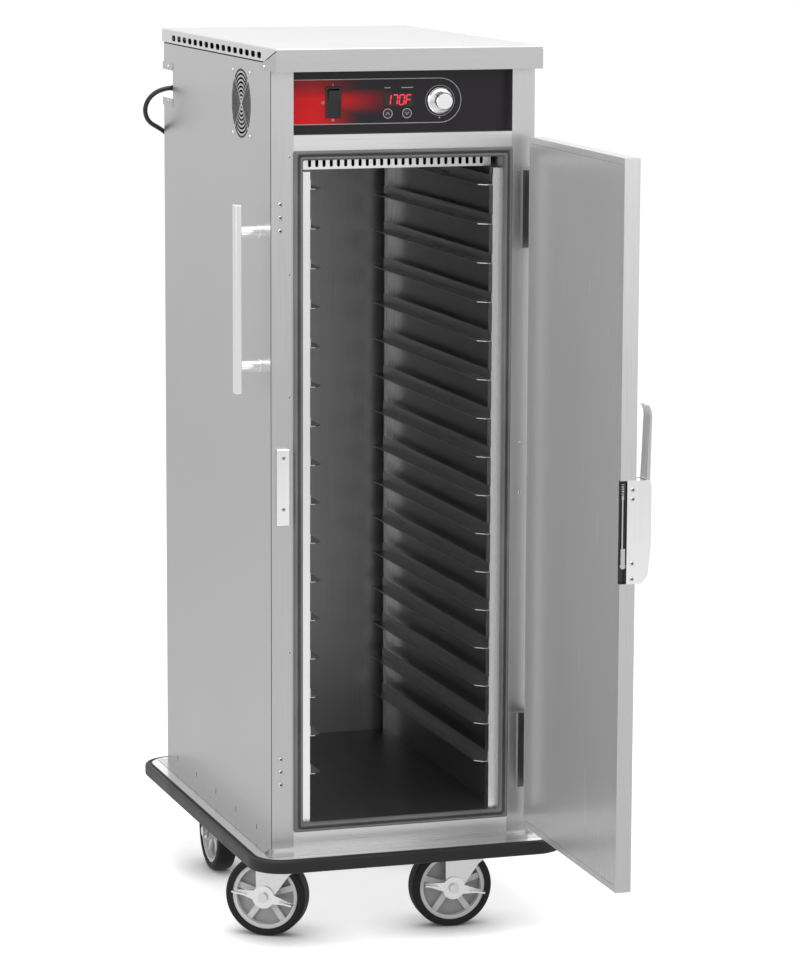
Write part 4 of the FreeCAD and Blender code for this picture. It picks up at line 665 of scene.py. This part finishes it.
STRIPE_LOW, STRIPE_HIGH = 1.4858, 1.5650
beam = ramp_between(tree, axes.outputs["X"], -0.165, 0.005, 1.0, 0.0)
beam_low = ramp_between(tree, axes.outputs["Z"], 1.500, 1.524, 0.0, 1.0)
beam_high = ramp_between(tree, axes.outputs["Z"], 1.530, 1.552, 1.0, 0.0)
wash = ramp_between(tree, axes.outputs["X"], -0.175, -0.070, 1.0, 0.0)
wash_low = ramp_between(tree, axes.outputs["Z"], STRIPE_LOW, STRIPE_LOW + 0.0005, 0.0, 1.0)
wash_high = ramp_between(tree, axes.outputs["Z"], STRIPE_HIGH - 0.045, STRIPE_HIGH, 1.0, 0.35)
wash_top = ramp_between(tree, axes.outputs["Z"], STRIPE_HIGH - 0.0005, STRIPE_HIGH, 1.0, 0.0)
strong = combine(tree, "MAXIMUM", product(tree, beam, beam_low, beam_high),
                 product(tree, wash, wash_low, wash_high, wash_top))
film_mix = tree.nodes.new("ShaderNodeMix")
film_mix.data_type = "RGBA"
film_mix.inputs["A"].default_value = (0.018, 0.015, 0.020, 1)
film_mix.inputs["B"].default_value = (0.95, 0.010, 0.016, 1)
tree.links.new(strong, film_mix.inputs["Factor"])
tree.links.new(film_mix.outputs["Result"], shader.inputs["Base Color"])
tree.links.new(remap(tree, add_noise(tree, 60), 0.30, 0.40), shader.inputs["Roughness"])
shader.inputs["Specular IOR Level"].default_value = 0.25
dress(film, "control_panel")

window_tint, tree, shader = new_finish("window_tint")
shader.inputs["Roughness"].default_value = 0.12
window_colour = tint(tree, add_noise(tree, 40), (0.012, 0.004, 0.005), (0.02, 0.006, 0.008))
tree.links.new(window_colour, shader.inputs["Base Color"])
dress(window_tint, "display_window")
dress(moulded("button_film", (0.016, 0.014, 0.017), 0.28, 500, 0.08), "button_left", "button_right")
print("panel from", tuple(round(v, 3) for v in panel_low), "to", tuple(round(v, 3) for v in panel_high))

# %% [markdown]
# The print on the panel is thin ink: an outline that runs round the glow and the knob, plain ring icons
# on the two buttons and the marks on the switch. Ink is modelled as flat ribbons a tenth of a millimetre
# proud, which stay crisp at any distance.


# %% Print on the panel
pale_ink = moulded("pale_ink", (0.62, 0.60, 0.60), 0.5, 400, 0.05, 0.06)
INK = 0.00012


def ribbon(work, points, y, width, closed=False):
    """A flat ribbon of ink along points in the XZ plane, facing -Y."""
    count = len(points)
    pairs = []
    for i, (x, z) in enumerate(points):
        ahead = points[(i + 1) % count] if closed or i < count - 1 else points[i]
        behind = points[i - 1] if closed or i > 0 else points[i]
        dx, dz = ahead[0] - behind[0], ahead[1] - behind[1]
        size = math.hypot(dx, dz)
        nx, nz = -dz / size * width / 2, dx / size * width / 2
        pairs.append([(x + nx, z + nz), (x - nx, z - nz)])
    front = [[work.verts.new((x, y - INK, z)) for x, z in pair] for pair in pairs]
    back = [[work.verts.new((x, y + INK, z)) for x, z in pair] for pair in pairs]
    steps = range(count if closed else count - 1)
    for i in steps:
        j = (i + 1) % count
        work.faces.new((front[i][0], front[i][1], front[j][1], front[j][0]))
        work.faces.new((back[i][0], back[j][0], back[j][1], back[i][1]))
        work.faces.new((front[i][0], front[j][0], back[j][0], back[i][0]))
        work.faces.new((front[i][1], back[i][1], back[j][1], front[j][1]))
    if not closed:
        for k in (0, -1):
            work.faces.new((front[k][0], back[k][0], back[k][1], front[k][1]))


def circle(cx, cz, radius, steps=40, start=0.0, sweep=360.0):
    whole = abs(sweep) >= 360
    last = steps if whole else steps - 1
    return [(cx + radius * math.cos(math.radians(start + sweep * i / last)),
             cz + radius * math.sin(math.radians(start + sweep * i / last))) for i in range(steps)]


KNOB_X, KNOB_Z = 0.076, 1.525
middle_z, half_z = (STRIPE_LOW + STRIPE_HIGH) / 2, (STRIPE_HIGH - STRIPE_LOW) / 2


def print_outline(work):
    y = panel_low.y
    left = panel_low.x + 0.0006
    points = [(left + (KNOB_X - left) * i / 8, STRIPE_LOW) for i in range(8)]
    points += circle(KNOB_X, middle_z, half_z, 28, -90, 180)
    points += [(KNOB_X + (left - KNOB_X) * i / 8, STRIPE_HIGH) for i in range(1, 9)]
    ribbon(work, points, y, 0.0011)
    ribbon(work, [(-0.1246, 1.5537), (-0.1246, 1.5577)], y, 0.0011)
    ribbon(work, circle(-0.1246, 1.4933, 0.0019, 20), y, 0.0009, True)
    ribbon(work, circle(-0.1433, 1.5244, 0.0022, 20), y, 0.0009, True)
    for x0, x1 in ((-0.0284, -0.0174), (0.0034, 0.0250)):
        ribbon(work, [(x0, 1.5490), (x1, 1.5490)], y, 0.0013)
    ribbon(work, circle(KNOB_X - 0.0012, 1.4943, 0.0008, 16), y, 0.0012, True)
    ribbon(work, circle(KNOB_X, KNOB_Z, 0.0272, 48), y, 0.0007, True)


new_piece("panel_outline", print_outline, "cabinet", pale_ink, smooth=False)

for side in ("left", "right"):
    low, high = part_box("button_" + side)
    cx, cz = (low.x + high.x) / 2, (low.z + high.z) / 2

    def print_icon(work):
        ribbon(work, circle(cx, cz, 0.0083, 36), low.y, 0.0011, True)
        rise = 0.0022 if side == "left" else -0.0022
        ribbon(work, [(cx - 0.0032, cz - rise), (cx, cz + rise), (cx + 0.0032, cz - rise)], low.y, 0.0011)

    new_piece("button_mark_" + side, print_icon, "button_" + side, pale_ink, smooth=False)
print("ink pieces made")

# %% [markdown]
# The display shows a temperature in red seven-segment figures. A figure is a choice out of seven bars,
# so one small table of bars draws them all. They glow by emission, because a display makes its own light.

# %% Figures on the display
led, tree, shader = new_finish("red_figures")
shader.inputs["Base Color"].default_value = (0.6, 0.01, 0.02, 1)
shader.inputs["Emission Color"].default_value = (1.0, 0.03, 0.06, 1)
shader.inputs["Emission Strength"].default_value = 1.1
BARS = {"1": "bc", "7": "abc", "0": "abcdef", "F": "aefg"}
window_low, window_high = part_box("display_window")


def draw_figures(work):
    wide, tall, lean = 0.0088, 0.0172, 0.12
    left = (window_low.x + window_high.x) / 2 - 0.0246
    base = (window_low.z + window_high.z) / 2 - tall / 2
    for n, figure in enumerate("170F"):
        x0 = left + n * 0.0127
        ends = {"a": ((0, 2), (1, 2)), "b": ((1, 2), (1, 1)), "c": ((1, 1), (1, 0)), "d": ((0, 0), (1, 0)),
                "e": ((0, 1), (0, 0)), "f": ((0, 2), (0, 1)), "g": ((0, 1), (1, 1))}
        for bar in BARS[figure]:
            (ax, az), (bx, bz) = ends[bar]
            start = Vector((ax * wide, az * tall / 2))
            end = Vector((bx * wide, bz * tall / 2))
            run = (end - start).normalized() * 0.0007
            start, end = start + run, end - run
            points = [(x0 + p.x + p.y * lean, base + p.y) for p in (start, end)]
            ribbon(work, points, window_low.y, 0.0021)


new_piece("display_figures", draw_figures, "cabinet", led, smooth=False)
print("figures drawn")

# %% [markdown]
# ## Screws
# Small screws hold the hinges, latch, strike, grille and posts. A pan head is a low dome with a crossed
# recess: rings of points round the axis, with four points of the innermost ring pushed in. All the
# screws of one body are one mesh.


# %% Screw heads
def pan_head(work, centre, normal, radius, height=None, turn=20.0):
    """A domed head seated on the point centre, with a crossed recess."""
    normal = Vector(normal).normalized()
    height = height or radius * 0.55
    side = normal.orthogonal().normalized()
    other = normal.cross(side)
    count = 16
    rings = []
    for share, rise in ((1.0, -0.2), (1.0, 0.35), (0.86, 0.72), (0.62, 0.95), (0.42, 1.0)):
        ring = []
        for i in range(count):
            angle = math.radians(turn + 360.0 * i / count)
            lift = rise
            if share == 0.42 and i % 4 == 0:
                lift = 0.35
            reach = radius * share
            out = (side * math.cos(angle) + other * math.sin(angle)) * reach
            ring.append(work.verts.new(Vector(centre) + out + normal * height * lift))
        rings.append(ring)
    for one, two in zip(rings, rings[1:]):
        for i in range(count):
            j = (i + 1) % count
            work.faces.new((one[i], one[j], two[j], two[i]))
    # The faces of the recess round the pit take the second finish, which is painted shade.
    pit = work.verts.new(Vector(centre) + normal * height * 0.2)
    for i in range(count):
        work.faces.new((rings[-1][i], rings[-1][(i + 1) % count], pit)).material_index = 1
    work.faces.new(rings[0][::-1])


screw_metal = brushed_steel("screw_metal", 0.55, 0.25, "across", 0.1)
# The faces round the pit of each screw's recess take a near-black finish, which is painted shade.
recess_painted_shade = moulded("recess_painted_shade", (0.02, 0.02, 0.02), 0.6, 900, 0.05)
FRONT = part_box("front_posts")[0].y
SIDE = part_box("side_panel_right")[1].x
HEAD_R, FLUSH, HOLE = 0.0042, 0.0004, 0.0569


def cabinet_screws(work):
    for x in (-0.230, 0.230):
        for z in (1.347, 1.3235, 1.300, 0.340, 0.3165, 0.293):
            pan_head(work, (x, FRONT, z), (0, -1, 0), HEAD_R)
    for z in (1.431, 1.222, 1.002, 0.537):
        pan_head(work, (-0.2135, FRONT, z), (0, -1, 0), 0.002)
    for z in (0.9006, 0.8088):
        pan_head(work, (0.2245, FRONT, z), (0, -1, 0), 0.003)
    fan_low, fan_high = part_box("cooling_fan_frame")
    fy, fz = (fan_low.y + fan_high.y) / 2, (fan_low.z + fan_high.z) / 2
    for dy in (-HOLE, HOLE):
        for dz in (-HOLE, HOLE):
            pan_head(work, (-SIDE, fy + dy, fz + dz), (-1, 0, 0), HEAD_R)
    pocket_low, pocket_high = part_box("cord_pocket")
    for z in (pocket_high.z - 0.009, pocket_low.z + 0.009):
        pan_head(work, (pocket_low.x, pocket_high.y - 0.041, z), (-1, 0, 0), HEAD_R)
    cap_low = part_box("top_cap")[0]
    for side in (-1, 1):
        pan_head(work, (side * -cap_low.x, FRONT + 0.036, 1.588), (side, 0, 0), HEAD_R)
    strike_low, strike_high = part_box("strike_plate")
    for z in (strike_high.z - 0.016, strike_low.z + 0.030):
        pan_head(work, ((strike_low.x + strike_high.x) / 2, strike_low.y, z), (0, -1, 0), HEAD_R, FLUSH)


screws = new_piece("cabinet_screws", cabinet_screws, "cabinet", screw_metal)
screws.data.materials.append(recess_painted_shade)
print("faces on the cabinet's screws:", len(screws.data.polygons))

# %% [markdown]
# Screws on the door belong to the door's body, so that they swing with it. The door stands open one
# degree short of a right angle, and a small helper turns a place on the shut door to where it is now.

# %% Screws on the door
door_joint = next(j for j in frame["joints"] if j["name"] == "door_hinge")
HINGE = Vector(door_joint["pos_m"])
OPEN = math.radians(-door_joint["range_deg"][0])
swing = Matrix.Rotation(OPEN, 3, "Z")


def opened(x, y, z):
    flat = Vector((x - HINGE.x, y - HINGE.y, 0))
    return swing @ flat + Vector((HINGE.x, HINGE.y, z))


def door_screws(work):
    edge = -SIDE - 0.002
    for z in (0.900, 0.884, 0.773, 0.746):
        pan_head(work, opened(edge, FRONT - 0.0315, z), swing @ Vector((-1, 0, 0)), HEAD_R)
    for middle in (0.329, 1.329):
        for dz in (-0.018, 0.018):
            pan_head(work, opened(0.226, HINGE.y, middle + dz), swing @ Vector((0, -1, 0)), 0.0045)


screws = new_piece("door_screws", door_screws, "door", screw_metal)
screws.data.materials.append(recess_painted_shade)
print("screws set; door open by %.0f degrees" % math.degrees(OPEN))

# %% [markdown]
# ## Two closing strips
# The sheet of the top folds over the front edge into the fascia, so no joint shows there, and the latch
# housing is closed on top behind its lever. Each is a plain thin box that fills the joint in the solids.


# %% Closing strips
def block(work, corners):
    """A box from its eight corners, the lower four first."""
    v = [work.verts.new(c) for c in corners]
    for face in ((3, 2, 1, 0), (4, 5, 6, 7), (0, 1, 5, 4), (1, 2, 6, 5), (2, 3, 7, 6), (3, 0, 4, 7)):
        work.faces.new([v[i] for i in face])


def upright_box(x0, x1, y0, y1, z0, z1):
    return [(x, y, z) for z in (z0, z1) for x, y in ((x0, y0), (x1, y0), (x1, y1), (x0, y1))]


fascia_low, fascia_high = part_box("fascia")


def fold_edge(work):
    x0, x1 = fascia_low.x + 0.0015, fascia_high.x - 0.0015
    y, z = fascia_low.y, fascia_high.z
    block(work, upright_box(x0, x1, y - 0.0001, y + 0.0010, z - 0.0012, z + 0.0034))


def close_housing(work):
    plate = upright_box(-SIDE + 0.001, -SIDE + 0.035, HINGE.y - 0.0146, HINGE.y + 0.0010, 0.9134, 0.9146)
    block(work, [opened(*corner) for corner in plate])


new_piece("folded_edge", fold_edge, "cabinet", fascia_sheet, smooth=False)
new_piece("housing_top", close_housing, "door", polished, smooth=False)
print("fascia joint closed at height %.4f" % fascia_high.z)

# %% [markdown]
# ## Latch spring and strain relief
# The draw rod of the latch is pressed down by a small coil spring, and the cord leaves its gland through a
# tapered, ribbed rubber sleeve. Both are round tubes along a path, one with an even radius and one whose
# radius falls towards the tip, so a single helper makes the two. It carries a ring of points along the
# path and keeps the ring from twisting by always measuring from the ring before.


# %% Tubes along a path
def tube(work, points, radii, count=12):
    points = [Vector(p) for p in points]
    side = (points[1] - points[0]).orthogonal().normalized()
    rings = []
    for i, (point, radius) in enumerate(zip(points, radii)):
        ahead = points[min(i + 1, len(points) - 1)] - points[max(i - 1, 0)]
        ahead.normalize()
        side = (side - ahead * side.dot(ahead)).normalized()
        other = ahead.cross(side)
        rings.append([work.verts.new(point + (side * math.cos(a) + other * math.sin(a)) * radius)
                      for a in (2 * math.pi * k / count for k in range(count))])
    for one, two in zip(rings, rings[1:]):
        for i in range(count):
            j = (i + 1) % count
            work.faces.new((one[i], one[j], two[j], two[i]))
    work.faces.new(rings[0][::-1])
    work.faces.new(rings[-1])


def wind_spring(work):
    rod_low, rod_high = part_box("latch_catch")
    cx, cy = (rod_low.x + rod_high.x) / 2, (rod_low.y + rod_high.y) / 2
    turns, steps, low, high = 7, 20, rod_high.z - 0.008, rod_high.z + 0.0205
    coil_r, wire_r = 0.0028, 0.00062
    points = []
    for i in range(turns * steps + 1):
        angle = 2 * math.pi * i / steps
        points.append((cx + coil_r * math.cos(angle), cy + coil_r * math.sin(angle),
                       low + (high - low) * i / (turns * steps)))
    tube(work, points, [wire_r] * len(points), 8)


def mould_sleeve(work):
    start, bend = Vector(CORD_ROUTE[0]), Vector(CORD_ROUTE[1])
    end = (bend + Vector(CORD_ROUTE[2])) / 2
    points, radii = [], []
    for i in range(33):
        t = i / 32
        points.append(start * (1 - t) ** 2 + bend * 2 * t * (1 - t) + end * t ** 2)
        groove = 0.0005 if 0.15 < t < 0.9 and i % 4 in (2, 3) else 0.0
        radii.append(0.0082 - 0.0030 * t - groove)
    tube(work, points, radii, 20)


new_piece("latch_spring", wind_spring, "door", screw_metal)
new_piece("cord_sleeve", mould_sleeve, "cabinet", cord_rubber)
print("spring wound and sleeve moulded")
